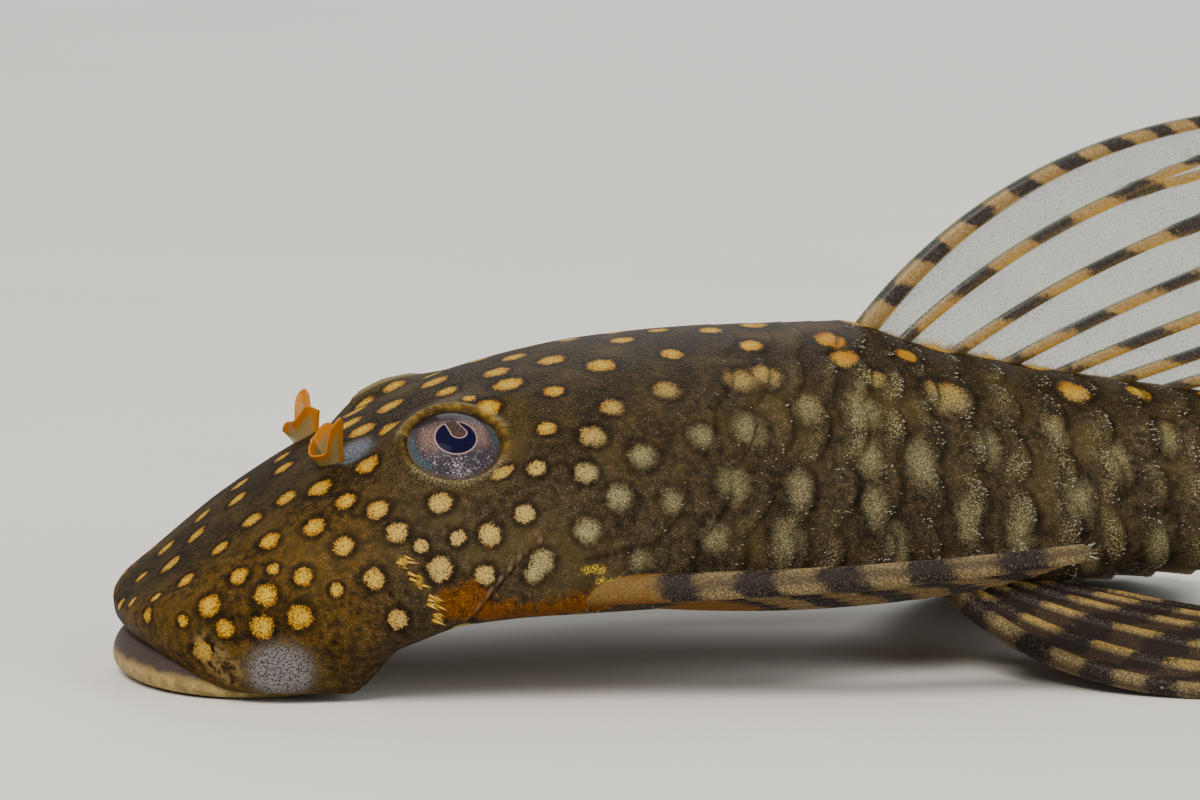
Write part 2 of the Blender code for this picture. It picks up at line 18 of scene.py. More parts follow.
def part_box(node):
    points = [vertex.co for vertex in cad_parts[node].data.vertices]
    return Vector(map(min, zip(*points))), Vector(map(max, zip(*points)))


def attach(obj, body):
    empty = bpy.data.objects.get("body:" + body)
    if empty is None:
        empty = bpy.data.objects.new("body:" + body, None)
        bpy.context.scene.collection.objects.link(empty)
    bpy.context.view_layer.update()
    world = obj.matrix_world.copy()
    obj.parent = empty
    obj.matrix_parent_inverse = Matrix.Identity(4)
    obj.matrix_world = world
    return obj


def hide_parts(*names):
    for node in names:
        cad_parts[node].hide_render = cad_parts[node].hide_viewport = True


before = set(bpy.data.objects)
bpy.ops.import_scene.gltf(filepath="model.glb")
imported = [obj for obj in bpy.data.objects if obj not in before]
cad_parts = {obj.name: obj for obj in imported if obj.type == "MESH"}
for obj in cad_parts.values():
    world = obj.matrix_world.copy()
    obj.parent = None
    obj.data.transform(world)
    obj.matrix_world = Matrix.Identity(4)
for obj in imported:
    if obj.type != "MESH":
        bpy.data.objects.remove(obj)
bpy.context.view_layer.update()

bl_info = {
    "name": "Young bristlenose catfish",
    "version": (1, 0, 0),
    "blender": (4, 5, 0),
    "location": "3D View > Sidebar > Catfish",
    "description": "Spotted skin, plates, fins and eyes of a young catfish",
    "category": "Object",
}

MM = 0.001
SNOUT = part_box("head")[0].x
SEED = 11

# The body's outline and section, as (station, millimetres) and (station, roundness) pairs
LENGTH = 61.0
BACK_LINE = (
    (0, 2.8), (0.3, 3.1), (1.5, 4.1), (4.5, 6.65), (8.2, 8.9), (13, 10.95), (18, 12.0),
    (22, 12.3), (27.2, 12.35), (30, 11.45), (41, 9.35), (51, 7.9), (LENGTH, 7.4),
)
BELLY_LINE = (
    (0, 2.5), (0.3, 2.2), (1, 1.8), (2.5, 1.15), (4, 0.75), (7.5, 0.8), (9.5, 1.7), (11.5, 2.5),
    (15, 2.8), (30, 2.8), (38, 2.9), (44, 2.6), (52, 1.8), (LENGTH, 1.35),
)
HALF_WIDTH = (
    (0, 1.5), (0.25, 2.9), (1, 4.7), (2.2, 6.0), (4, 7.05), (7, 8.1), (11, 9.2), (15, 9.9),
    (18, 9.7), (22, 8.8), (27, 7.7), (34, 6.3), (41, 4.8), (50, 3.1), (57, 2.0), (LENGTH, 1.6),
)
WIDEST_LEVEL = (
    (0, 2.9), (4, 3.5), (8, 3.8), (14, 4.2), (20, 4.6), (41, 4.9), (50, 4.6), (LENGTH, 4.35),
)
ROUND_ABOVE = ((0, 2.0), (8, 2.05), (15, 2.0), (27, 1.8), (41, 1.95), (LENGTH, 2.4))
ROUND_BELOW = ((0, 2.2), (3, 3.6), (8, 3.8), (14, 3.2), (34, 3.2), (50, 2.5), (LENGTH, 2.3))
TABLE_STATIONS = 1221
TABLE_SHARES = 161
TABLE_TURNS = 121

# How the rings of plates slant behind the skull
HEAD_END = 16.6
STALK_TAPER = 2.6
SLANT = 0.75
SLANT_LEVEL = 7.0
SLANT_START = 7.0
SLANT_END = 34.0

# Five rows of plates on each side
PLATE_COUNTS = ((16.9, 0), (30.7, 8), (43.4, 15), (LENGTH, 25))
PLATE_BULGE = 0.5
PLATE_SIDES = 0.4
ROW_EDGES_TRUNK = (0.035, 0.16, 0.29, 0.41, 0.52, 0.62)
ROW_EDGES_TAIL = (0.035, 0.22, 0.40, 0.58, 0.77, 0.94)
ROWS_LOWER_FROM = 29.0
ROWS_LOWER_TO = 44.0

# The skin's grid: where along the fish and round its side its lines lie closest
SKIN_ALONG = 400
SKIN_ROUND = 240
SKIN_STATIONS = ((0, 0), (0.03, 0.25), (0.1, 2), (0.38, 18), (0.8, 43), (1, LENGTH))
SKIN_SHARES = ((0, 0), (0.72, 0.62), (1, 1))

# Head pieces
EYE_AT = np.array([11.45, 5.5, 8.97])
EYE_TILT = math.radians(51)
EYE_LOOK = np.array([-0.06, math.cos(EYE_TILT), math.sin(EYE_TILT)])
EYE_LOOK /= np.linalg.norm(EYE_LOOK)
EYE_RADIUS = 2.3
EYE_SUNK = 1.6
ORBIT_FLAT = 1.7
ORBIT_REACH = 3.3
RIM_RADIUS = 1.9
RIM_WIDTH = 0.14
NOSTRIL_STATION = 7.05
NOSTRIL_SHARE = 0.137
PIT_STATION = 7.95
PIT_SHARE = 0.165
GILL_REAR = ((0, 12.5), (0.2, 13.7), (0.33, 13.95), (0.5, 13.1), (0.7, 12.3), (1, 11.3))
GILL_TOP = 0.42
GILL_BOTTOM = 0.592
LIP_CENTRE = 4.4
LIP_FRONT = 0.0
LIP_HALF_WIDTH = 6.0
LIP_ENDS = math.radians(100)
MOUTH_REAR = 8.4
SKIRT_STATIONS = (2.6, 4.2, 7.3, 9.2)
SKIRT_REACH = (4.2, 5.6, 6.9, 7.7)
GAPE_AT = 3.9
GAPE_RADII = (1.55, 3.3)
GAPE_DEPTH = 1.1
CHEEK_SPINES = 28

# Fins, each as three key rays, leading, middle and trailing, of three points from root to tip
DORSAL_RAYS = (
    ((27.3, 0, 11.75), (34.5, 0, 17.8), (44.0, 0, 20.05)),
    ((34.3, 0, 10.2), (41.6, 0, 13.1), (48.8, 0, 15.2)),
    ((41.6, 0, 9.0), (45.9, 0, 9.95), (50.0, 0, 10.4)),
)
ADIPOSE_RAYS = (
    ((51.2, 0, 7.4), (52.9, 0, 9.4), (54.6, 0, 10.5)),
    ((52.3, 0, 7.2), (53.6, 0, 8.7), (55.1, 0, 9.8)),
    ((53.6, 0, 7.1), (54.6, 0, 7.9), (55.6, 0, 8.3)),
)
CAUDAL_RAYS = (
    ((60.0, 0, 6.9), (67.5, 0, 9.7), (75.0, 0, 11.8)),
    ((60.0, 0, 4.3), (66.5, 0, 4.6), (73.0, 0, 5.2)),
    ((60.0, 0, 1.8), (68.5, 0, 0.75), (78.0, 0, 0.05)),
)
ANAL_RAYS = (
    ((42.2, 0, 3.3), (45.0, 0, 1.3), (48.6, 0, 0.45)),
    ((43.6, 0, 3.3), (46.6, 0, 1.9), (50.2, 0, 0.8)),
    ((45.2, 0, 3.2), (48.0, 0, 2.2), (50.6, 0, 1.5)),
)
PECTORAL_RAYS = (
    ((13.0, 9.2, 4.25), (24.0, 11.6, 4.75), (33.6, 12.6, 5.6)),
    ((15.9, 8.2, 3.75), (24.0, 10.0, 3.9), (31.4, 10.2, 4.2)),
    ((17.3, 7.9, 3.5), (22.3, 8.8, 3.3), (27.2, 8.7, 3.4)),
)
PELVIC_RAYS = (
    ((29.4, 4.4, 3.4), (33.4, 10.6, 0.75), (40.4, 13.8, 0.3)),
    ((31.0, 4.3, 3.4), (36.9, 8.8, 1.9), (43.9, 11.2, 1.15)),
    ((32.6, 4.0, 3.4), (37.8, 5.9, 2.3), (42.4, 6.6, 1.7)),
)

# The camera, and the photograph's frame as it sees it
VIEW_AZIMUTH = math.radians(-12)
VIEW_ELEVATION = math.radians(8)
VIEW_DISTANCE = 222.0
VIEW_WIDTH = 44.4
VIEW_TARGET = (17.99, 0.0, 9.66)
SENSOR = 36.0
PHOTO_SIZE = (1200, 800)

# Where spots lie in the photograph's frame, read in pixels from its top left corner
SNOUT_SPOTS = (
    (283, 468), (286, 498), (320, 488), (252, 520), (269, 541), (314, 527), (220, 548), (237, 499),
    (196, 535), (171, 564), (186, 580), (239, 576), (303, 576), (209, 605), (266, 595), (225, 629),
    (262, 627), (300, 617), (203, 651),
)
SMALL_SPOTS = (
    (141, 577), (132, 602), (156, 597), (147, 615), (183, 621), (273, 569), (336, 590), (160, 541),
    (469, 398), (421, 546), (458, 538),
)
CHEEK_SPOTS = (
    (346, 501), (378, 510), (344, 546), (397, 532), (374, 579), (398, 620), (441, 502),
    (440, 569), (503, 473), (490, 534), (525, 514), (537, 468), (485, 575), (534, 574),
    (542, 561),
)
CROWN_SPOTS = (
    (368, 465), (362, 430), (390, 428), (348, 424), (390, 406), (447, 391), (394, 386), (434, 382),
    (496, 372), (508, 384), (514, 357), (489, 407), (551, 360), (601, 365), (622, 340),
    (672, 354), (750, 346), (830, 341), (843, 360), (875, 380), (906, 356),
)
FLANK_SPOTS = (
    (554, 391), (547, 428), (593, 436), (612, 407), (643, 456), (586, 473), (667, 390), (620, 498),
    (673, 502), (588, 531), (641, 561), (740, 381), (766, 377), (808, 409), (862, 412), (749, 431),
    (703, 438), (733, 484), (800, 491), (715, 538), (788, 543), (940, 399), (875, 507), (921, 465),
    (896, 548), (869, 458), (951, 399), (1074, 394), (987, 448), (1055, 433), (1167, 438),
    (1079, 499), (968, 521), (1021, 530), (1159, 545), (1118, 462),
)
# How wide a spot of each patch is, in millimetres across the skin
SPOT_WIDTHS = (
    (SNOUT_SPOTS, 0.79), (SMALL_SPOTS, 0.55), (CHEEK_SPOTS, 0.77), (CROWN_SPOTS, 0.95), (FLANK_SPOTS, 1.4),
)
# Other places in the same frame: the bare patch beside the mouth, the hollow of the nostril with its painted
# shade and glints, the line of spines on the cheek, the red skin under the gill and the orange blotches under the fin
SOFT_PATCH = (281, 672)
NOSTRIL_SHADE_AND_GLINT = (355, 452)
CHEEK_SPINE_LINE = ((402, 562), (418, 580), (436, 601), (438, 619))
RED_SKIN = ((452, 604), (470, 610), (488, 612), (508, 614), (530, 614), (552, 611), (576, 607), (600, 603), (470, 597))
# The dark notch above the pectoral spine's base is painted shadow of its recess
SHOULDER_NOTCH_SHADOW = ((588, 560), (597, 558), (606, 555), (615, 552), (624, 550), (633, 548))
SHOULDER_GOLD = ((586, 570), (594, 569), (602, 570), (600, 581), (609, 582), (618, 581))
MOUTH_FOLD = ((205, 648), (216, 660), (228, 672))
ORANGE_SKIN = ((820, 334), (836, 345), (850, 356), (903, 356), (966, 364), (1000, 369), (1065, 384))


class CatfishSizes(PropertyGroup):
    """Sizes of the catfish that a user would change"""

    plate_rise: FloatProperty(
        name="Plate rise", description="How far a plate's rear edge stands up", default=0.00019, unit="LENGTH"
    )
    spot_spacing: FloatProperty(
        name="Spot spacing", description="From spot to spot on the head", default=0.0017, unit="LENGTH"
    )
    denticle_length: FloatProperty(
        name="Denticle length", description="Longest denticle on a plate", default=0.00011, unit="LENGTH"
    )
    denticles_per_plate: IntProperty(
        name="Denticles on a plate", description="How many denticles stand on each plate", default=75, min=1
    )
    floor_radius: FloatProperty(
        name="Floor radius", description="Half the width of the round floor", default=3.0, unit="LENGTH"
    )


def tint(name, description, red, green, blue):
    """A colour that a user can pick."""
    return FloatVectorProperty(
        name=name, description=description, subtype="COLOR", size=3, default=(red, green, blue), min=0, max=1
    )


class CatfishColours(PropertyGroup):
    """Colours of the catfish"""

    dark: tint("Dark skin", "Skin between the spots", 0.0066, 0.0040, 0.0020)
    olive: tint("Olive skin", "Paler clouds in the dark skin", 0.046, 0.030, 0.0085)
    slate: tint("Slate", "Skin between the plates' pale patches", 0.0050, 0.0050, 0.0056)
    taupe: tint("Taupe", "Greyer brown of the cheek and flank", 0.078, 0.056, 0.030)
    # Fine grains, partly gold dust and partly painted glints on the skin's granules
    dust_and_glints: tint("Gold dust", "Fine grains all over the skin", 0.16, 0.125, 0.065)
    warm_spot: tint("Warm spot", "Spots on the snout, crown and back", 0.33, 0.13, 0.0)
    gold_spot: tint("Gold grain", "Bright grains in the warm spots", 0.56, 0.36, 0.03)
    pale_spot: tint("Pale spot", "Spots on the cheek and flank", 0.34, 0.305, 0.155)
    amber: tint("Amber", "Thin skin low on the snout", 0.105, 0.050, 0.003)
    belly: tint("Belly", "Skin of the underside", 0.20, 0.12, 0.05)
    red_skin: tint("Red skin", "Thin skin under the gill", 0.095, 0.027, 0.0)
    soft_patch: tint("Soft patch", "Bare patch beside the mouth", 0.165, 0.150, 0.150)
    lip: tint("Lip", "Edge of the lips", 0.36, 0.26, 0.09)
    lip_border: tint("Lip border", "Upper side of the lips", 0.026, 0.017, 0.017)
    ray_light: tint("Ray", "Rays of the clear fins between their bars", 0.29, 0.175, 0.05)
    dusky_light: tint("Dusky ray", "Rays of the dusky fins between their bars", 0.15, 0.105, 0.040)
    ray_dark: tint("Ray bar", "Dark bars across the fin rays", 0.012, 0.0080, 0.0075)
    streak: tint("Streak", "Gold lines along the fin rays", 0.46, 0.24, 0.01)
    dusky_streak: tint("Dusky streak", "Gold lines along the rays of the dusky fins", 0.34, 0.20, 0.035)
    web: tint("Web", "Skin between the clear fin rays", 0.20, 0.25, 0.19)
    dusky_web: tint("Dusky web", "Skin between the dusky fin rays", 0.030, 0.019, 0.012)
    sheen: tint("Web sheen", "Bluish grains near the root of the web", 0.52, 0.60, 0.64)
    flap: tint("Nasal flap", "Edge of the flaps at the nostrils", 0.36, 0.115, 0.0)
    iris: tint("Iris", "Iris of the eye", 0.033, 0.026, 0.034)
    pupil: tint("Pupil", "Pupil of the eye", 0.005, 0.005, 0.020)
    denticle: tint("Denticle", "The tiny teeth on the plates", 0.50, 0.45, 0.34)
    floor: tint("Floor", "The plain floor", 0.72, 0.70, 0.66)


def through(pairs):
    """A smooth line through (station, value) pairs that never swings past them."""
    x, y = (np.array(column, float) for column in zip(*pairs))
    step = np.diff(x)
    slope = np.diff(y) / step
    tangent = np.concatenate([slope[:1], np.zeros(len(x) - 2), slope[-1:]])
    for i in range(1, len(x) - 1):
        if slope[i - 1] * slope[i] > 0:
            near, far = 2 * step[i] + step[i - 1], step[i] + 2 * step[i - 1]
            tangent[i] = (near + far) / (near / slope[i - 1] + far / slope[i])

    def value(at):
        at = np.clip(at, x[0], x[-1])
        i = np.clip(np.searchsorted(x, at) - 1, 0, len(step) - 1)
        u = (at - x[i]) / step[i]
        return (
            y[i] * (1 + 2 * u) * (1 - u) ** 2
            + y[i + 1] * u * u * (3 - 2 * u)
            + step[i] * (tangent[i] * u * (1 - u) ** 2 - tangent[i + 1] * u * u * (1 - u))
        )

    return value


def eased(low, high, at):
    """0 before low, 1 after high, and a smooth rise between them."""
    u = np.clip((at - low) / (high - low), 0, 1)
    return u * u * (3 - 2 * u)


def hump(at, middle, width):
    """A smooth bump of height 1 round a middle."""
    return np.exp(-(((at - middle) / width) ** 2))


gill_rear = through(GILL_REAR)


def side_tables():
    """How far out and how high the body's smooth side is, by station and by share of the side."""
    stations = np.linspace(0, LENGTH, TABLE_STATIONS)[:, None]
    turn = np.linspace(0, math.pi, TABLE_TURNS)[None, :]
    above = turn <= math.pi / 2
    roundness = np.where(above, through(ROUND_ABOVE)(stations), through(ROUND_BELOW)(stations))
    level = through(WIDEST_LEVEL)(stations)
    reach = np.where(above, through(BACK_LINE)(stations) - level, level - through(BELLY_LINE)(stations))
    out = through(HALF_WIDTH)(stations) * np.abs(np.sin(turn)) ** (2 / roundness)
    up = level + reach * np.sign(np.cos(turn)) * np.abs(np.cos(turn)) ** (2 / roundness)
    steps = np.hypot(np.diff(out, axis=1), np.diff(up, axis=1))
    along = np.concatenate([np.zeros((len(steps), 1)), np.cumsum(steps, axis=1)], axis=1)
    along /= along[:, -1:]
    shares = np.linspace(0, 1, TABLE_SHARES)
    outs = np.array([np.interp(shares, a, o) for a, o in zip(along, out)])
    ups = np.array([np.interp(shares, a, u) for a, u in zip(along, up)])
    return outs, ups


SIDE_OUT, SIDE_UP = side_tables()


def side_of_body(x, share):
    """(out, up) of the body's smooth side at stations, by share of the way from back to belly."""
    row = np.clip(x / LENGTH, 0, 1) * (TABLE_STATIONS - 1)
    column = np.clip(share, 0, 1) * (TABLE_SHARES - 1)
    i = np.minimum(row.astype(int), TABLE_STATIONS - 2)
    j = np.minimum(column.astype(int), TABLE_SHARES - 2)
    u, v = row - i, column - j
    return [
        (table[i, j] * (1 - u) + table[i + 1, j] * u) * (1 - v)
        + (table[i, j + 1] * (1 - u) + table[i + 1, j + 1] * u) * v
        for table in (SIDE_OUT, SIDE_UP)
    ]


def slanted_station(station, share):
    """Where along the body the slanted ring of a station crosses this share of the side."""
    rise = eased(SLANT_START, HEAD_END, station) * (1 - eased(HEAD_END, SLANT_END, station))
    x = station
    for _ in range(6):
        x = station + SLANT * rise * (side_of_body(x, share)[1] - SLANT_LEVEL)
    return x


def unit(vectors):
    return vectors / np.linalg.norm(vectors, axis=-1, keepdims=True)


def skin_at(station, share, side, lift=0.0):
    """Points on the body's skin, moved out by lift, with the ways out of it and towards the tail."""
    station, share, side, lift = np.broadcast_arrays(*(np.asarray(a, float) for a in (station, share, side, lift)))
    x = slanted_station(station, share)
    ahead, astern = side_of_body(x - 0.2, share), side_of_body(x + 0.2, share)
    higher, lower = side_of_body(x, share - 0.01), side_of_body(x, share + 0.01)
    along = np.stack([np.full_like(x, 0.4), astern[0] - ahead[0], astern[1] - ahead[1]], axis=-1)
    down = np.stack([np.zeros_like(x), lower[0] - higher[0], lower[1] - higher[1]], axis=-1)
    outward = np.cross(along, down)
    outward[..., 1] = np.where((share <= 0) | (share >= 1), 0, outward[..., 1])
    outward = unit(outward)
    point = np.stack([x, *side_of_body(x, share)], axis=-1) + lift[..., None] * outward
    off = point - EYE_AT
    near = 1 - eased(ORBIT_FLAT, ORBIT_REACH, np.linalg.norm(off, axis=-1))
    point = point - (near * (off @ EYE_LOOK - lift))[..., None] * EYE_LOOK
    outward = unit(outward * (1 - near[..., None]) + EYE_LOOK * near[..., None])
    mirror = np.stack([np.ones_like(side), side, np.ones_like(side)], axis=-1)
    return point * mirror, outward * mirror, unit(along) * mirror


def row_edges(station):
    """Where the five rows of plates meet, as shares of the side."""
    lower = eased(ROWS_LOWER_FROM, ROWS_LOWER_TO, np.asarray(station, float))[..., None]
    return np.array(ROW_EDGES_TRUNK) * (1 - lower) + np.array(ROW_EDGES_TAIL) * lower


def plate_at(station, share):
    """Of points on the body: the bow of their plate's edge, how far along it they are, and 1 if
    they are on a plate."""
    edges = row_edges(station)
    row = np.sum(share[..., None] >= edges, axis=-1) - 1
    held = np.clip(row, 0, 4)
    low = np.take_along_axis(edges, held[..., None], axis=-1)[..., 0]
    high = np.take_along_axis(edges, held[..., None] + 1, axis=-1)[..., 0]
    across = np.clip((share - low) / (high - low), 0, 1)
    arch = np.where(row < 0, 0, 1 - (2 * across - 1) ** 2)
    counted = np.interp(station - PLATE_BULGE * arch, *zip(*PLATE_COUNTS))
    return arch, counted % 1, 1 - eased(0, 0.04, share - edges[..., -1])


def eye_plane(points):
    """How far across and up the eye's own plane points lie from its middle, and how far out."""
    off = points * (1, 1, 1) - EYE_AT
    tailward = unit(np.array([1.0, 0, 0]) - EYE_LOOK * EYE_LOOK[0])
    upward = np.cross(tailward, EYE_LOOK)
    upward *= np.sign(upward[2])
    return off @ tailward, off @ upward, off @ EYE_LOOK


def skin_lift(station, share, rise):
    """How far the skin stands off the smooth body, and the shade of its furrows."""
    arch, along, plated = plate_at(station, share)
    plated = plated * eased(HEAD_END - 0.4, HEAD_END + 1.6, station)
    crest = 0.3 + 0.7 * eased(0.04, 0.2, share)
    slope = along * (1 - eased(0.84, 1, along))
    soft = 0.45 + 0.55 * eased(HEAD_END, HEAD_END + 12, station)
    lift = 1.2 * rise * (PLATE_SIDES + (1 - PLATE_SIDES) * arch) * slope * plated * crest * soft
    furrow = plated * (hump(along, 0.0, 0.09) + hump(along, 1.0, 0.05)) * (0.4 + 0.6 * arch)
    point = skin_at(station, share, 1.0)[0]
    across, up, _ = eye_plane(point)
    ring = np.hypot(across, up)
    beside = np.linalg.norm(point - EYE_AT, axis=-1) < ORBIT_REACH
    lift = lift + np.where(beside, 0.15 * hump(ring, RIM_RADIUS, RIM_WIDTH), 0)
    lift = lift - np.where(beside, 0.7 * (1 - eased(1.2, 1.75, ring)), 0)
    pit = skin_at(PIT_STATION, PIT_SHARE, 1.0)[0]
    lift = lift - 0.22 * hump(np.linalg.norm(point - pit, axis=-1), 0, 0.42)
    down = (share - GILL_TOP) / (GILL_BOTTOM - GILL_TOP)
    open_gill = eased(0.22, 0.42, down) * (1 - eased(0.95, 1.1, down))
    slit = hump(point[..., 0], gill_rear(down) + 0.05, 0.09) * open_gill
    cover = hump(point[..., 0], gill_rear(down) - 0.32, 0.3) * open_gill
    return lift - 0.17 * slit + 0.1 * cover, np.maximum(furrow, slit)


def plate_middles(station, share):
    """1 along a bow across the rear half of each plate of the flank, and 0 away from it."""
    arch, along, plated = plate_at(station, share)
    return hump(along, 0.66, 0.2) * arch * plated * eased(20, 26, station) * eased(0.1, 0.2, share)


def gill_rim_highlight(station, share):
    """1 along the rear edge of the gill cover, where its orange rim and a painted highlight line run, and 0 away from
    it.
    """
    down = (share - GILL_TOP) / (GILL_BOTTOM - GILL_TOP)
    open_gill = eased(0.22, 0.42, down) * (1 - eased(0.95, 1.1, down))
    return hump(slanted_station(station, share), gill_rear(down) - 0.12, 0.045) * open_gill


def view_axes():
    """The camera's way back, right and up."""
    back = np.array([
        math.sin(VIEW_AZIMUTH) * math.cos(VIEW_ELEVATION),
        -math.cos(VIEW_AZIMUTH) * math.cos(VIEW_ELEVATION),
        math.sin(VIEW_ELEVATION),
    ])
    right = np.array([math.cos(VIEW_AZIMUTH), math.sin(VIEW_AZIMUTH), 0.0])
    return back, right, np.cross(back, right)


def photo_ray(across, down):
    """The camera's place, and its way to a pixel of the photograph's frame."""
    back, right, up = view_axes()
    scale = VIEW_WIDTH / PHOTO_SIZE[0]
    aim = np.array(VIEW_TARGET)
    aim = aim + right * (across - PHOTO_SIZE[0] / 2) * scale + up * (PHOTO_SIZE[1] / 2 - down) * scale
    eye = np.array(VIEW_TARGET) + back * VIEW_DISTANCE
    return eye, unit(aim - eye)


def flat_grid(columns, rows):
    """A flat grid, with how far across and along it each vertex is, from 0 to 1."""
    bm = bmesh.new()
    bmesh.ops.create_grid(bm, x_segments=columns, y_segments=rows, size=0.5)
    number = bm.verts.layers.int.new("number")
    for i, vert in enumerate(bm.verts):
        vert[number] = i
    flat = np.array([vert.co for vert in bm.verts]) + 0.5
    return bm, flat[:, 0], flat[:, 1]


def numbered(bm):
    """Numbers the vertices of a shape that has just been made."""
    number = bm.verts.layers.int.new("number")
    for i, vert in enumerate(bm.verts):
        vert[number] = i
    return np.array([vert.co for vert in bm.verts])


def move_to(bm, points):
    for vert, point in zip(bm.verts, points):
        vert.co = point


def thicken(bm, points, halves):
    """Makes an open sheet a closed solid, half its thickness to each side of its middle."""
    move_to(bm, points)
    bm.normal_update()
    ways = np.array([vert.normal for vert in bm.verts])
    count = len(bm.verts)
    bmesh.ops.solidify(bm, geom=bm.faces[:], thickness=0.001)
    number = bm.verts.layers.int["number"]
    for i, vert in enumerate(bm.verts):
        place = vert[number]
        side = 1 if i < count else -1
        vert.co = Vector(points[place] + side * halves[place] * ways[place])


def make_piece(bm, name, finish, replaced=(), values=None, uv=None):
    """Makes a piece of a shape drawn in millimetres, with its values for the finish to read."""
    bmesh.ops.recalc_face_normals(bm, faces=bm.faces)
    mesh = bpy.data.meshes.new(name)
    bm.to_mesh(mesh)
    bm.free()
    mesh.transform(Matrix.Translation((SNOUT, 0, 0)) @ Matrix.Scale(MM, 4))
    mesh.shade_smooth()
    if "number" in mesh.attributes:
        order = np.zeros(len(mesh.vertices), int)
        mesh.attributes["number"].data.foreach_get("value", order)
        for word, value in (values or {}).items():
            layer = mesh.attributes.new(word, "FLOAT", "POINT")
            layer.data.foreach_set("value", np.asarray(value, np.float32)[order])
        if uv is not None:
            corners = np.zeros(len(mesh.loops), int)
            mesh.loops.foreach_get("vertex_index", corners)
            layer = mesh.uv_layers.new(name="OFBake")
            layer.data.foreach_set("uv", np.asarray(uv, np.float32)[order][corners].ravel())
        mesh.attributes.remove(mesh.attributes["number"])
    mesh.materials.append(finish.material)
    piece = bpy.data.objects.new(name, mesh)
    bpy.context.scene.collection.objects.link(piece)
    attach(piece, "root")
    if replaced:
        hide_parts(*replaced)
    return piece


class Finish:
    """A material whose nodes are added one by one."""

    def __init__(self, name, roughness=0.4, **sockets):
        self.material = bpy.data.materials.new(name)
        self.material.use_nodes = True
        self.tree = self.material.node_tree
        self.shader = self.tree.nodes["Principled BSDF"]
        self.shader.inputs["Roughness"].default_value = roughness
        for word, value in sockets.items():
            self.shader.inputs[word.replace("_", " ")].default_value = value
        self.place = self.put("ShaderNodeTexCoord").outputs["Object"]

    def put(self, kind, inputs=None, **settings):
        """A new node with its settings, its inputs linked or set."""
        node = self.tree.nodes.new(kind)
        for word, value in settings.items():
            setattr(node, word, value)
        for socket, value in (inputs or {}).items():
            self.feed(node.inputs[socket], value)
        return node

    def feed(self, socket, value):
        if isinstance(value, bpy.types.NodeSocket):
            self.tree.links.new(value, socket)
        elif socket.type == "RGBA" and len(value) == 3:
            socket.default_value = (*value, 1)
        else:
            socket.default_value = value

    def sum(self, operation, first, second=0.0):
        """Arithmetic on two values."""
        return self.put("ShaderNodeMath", {0: first, 1: second}, operation=operation).outputs[0]

    def value(self, word):
        """The piece's own value of that name."""
        return self.put("ShaderNodeAttribute", attribute_name=word).outputs["Fac"]

    def noise(self, size, detail=3.0, roughness=0.55):
        """Noise whose grains are about size millimetres across."""
        inputs = {"Vector": self.place, "Scale": 1 / (size * MM), "Detail": detail, "Roughness": roughness}
        return self.put("ShaderNodeTexNoise", inputs).outputs["Fac"]

    def grains(self, size):
        """Round grains about size millimetres apart, 0 at their middles."""
        inputs = {"Vector": self.place, "Scale": 1 / (size * MM)}
        return self.put("ShaderNodeTexVoronoi", inputs).outputs["Distance"]

    def between(self, value, low, high):
        """0 where a value is at low and 1 where it is at high, smooth between them."""
        inputs = {"Value": value, "From Min": low, "From Max": high}
        return self.put("ShaderNodeMapRange", inputs, interpolation_type="SMOOTHSTEP").outputs["Result"]

    def mix(self, factor, first, second):
        """One colour turning to another as factor goes from 0 to 1."""
        node = self.put("ShaderNodeMix", data_type="RGBA")
        for socket, value in ((node.inputs[0], factor), (node.inputs[6], first), (node.inputs[7], second)):
            self.feed(socket, value)
        return node.outputs[2]

    def wear(self, colour, roughness=None, height=None, bump=0.3, depth=0.05):
        """Gives the shader its colour, roughness and the height of its grain in millimetres."""
        self.feed(self.shader.inputs["Base Color"], colour)
        if roughness is not None:
            self.feed(self.shader.inputs["Roughness"], roughness)
        if height is not None:
            inputs = {"Height": height, "Strength": bump, "Distance": depth * MM}
            self.feed(self.shader.inputs["Normal"], self.put("ShaderNodeBump", inputs).outputs["Normal"])
        return self


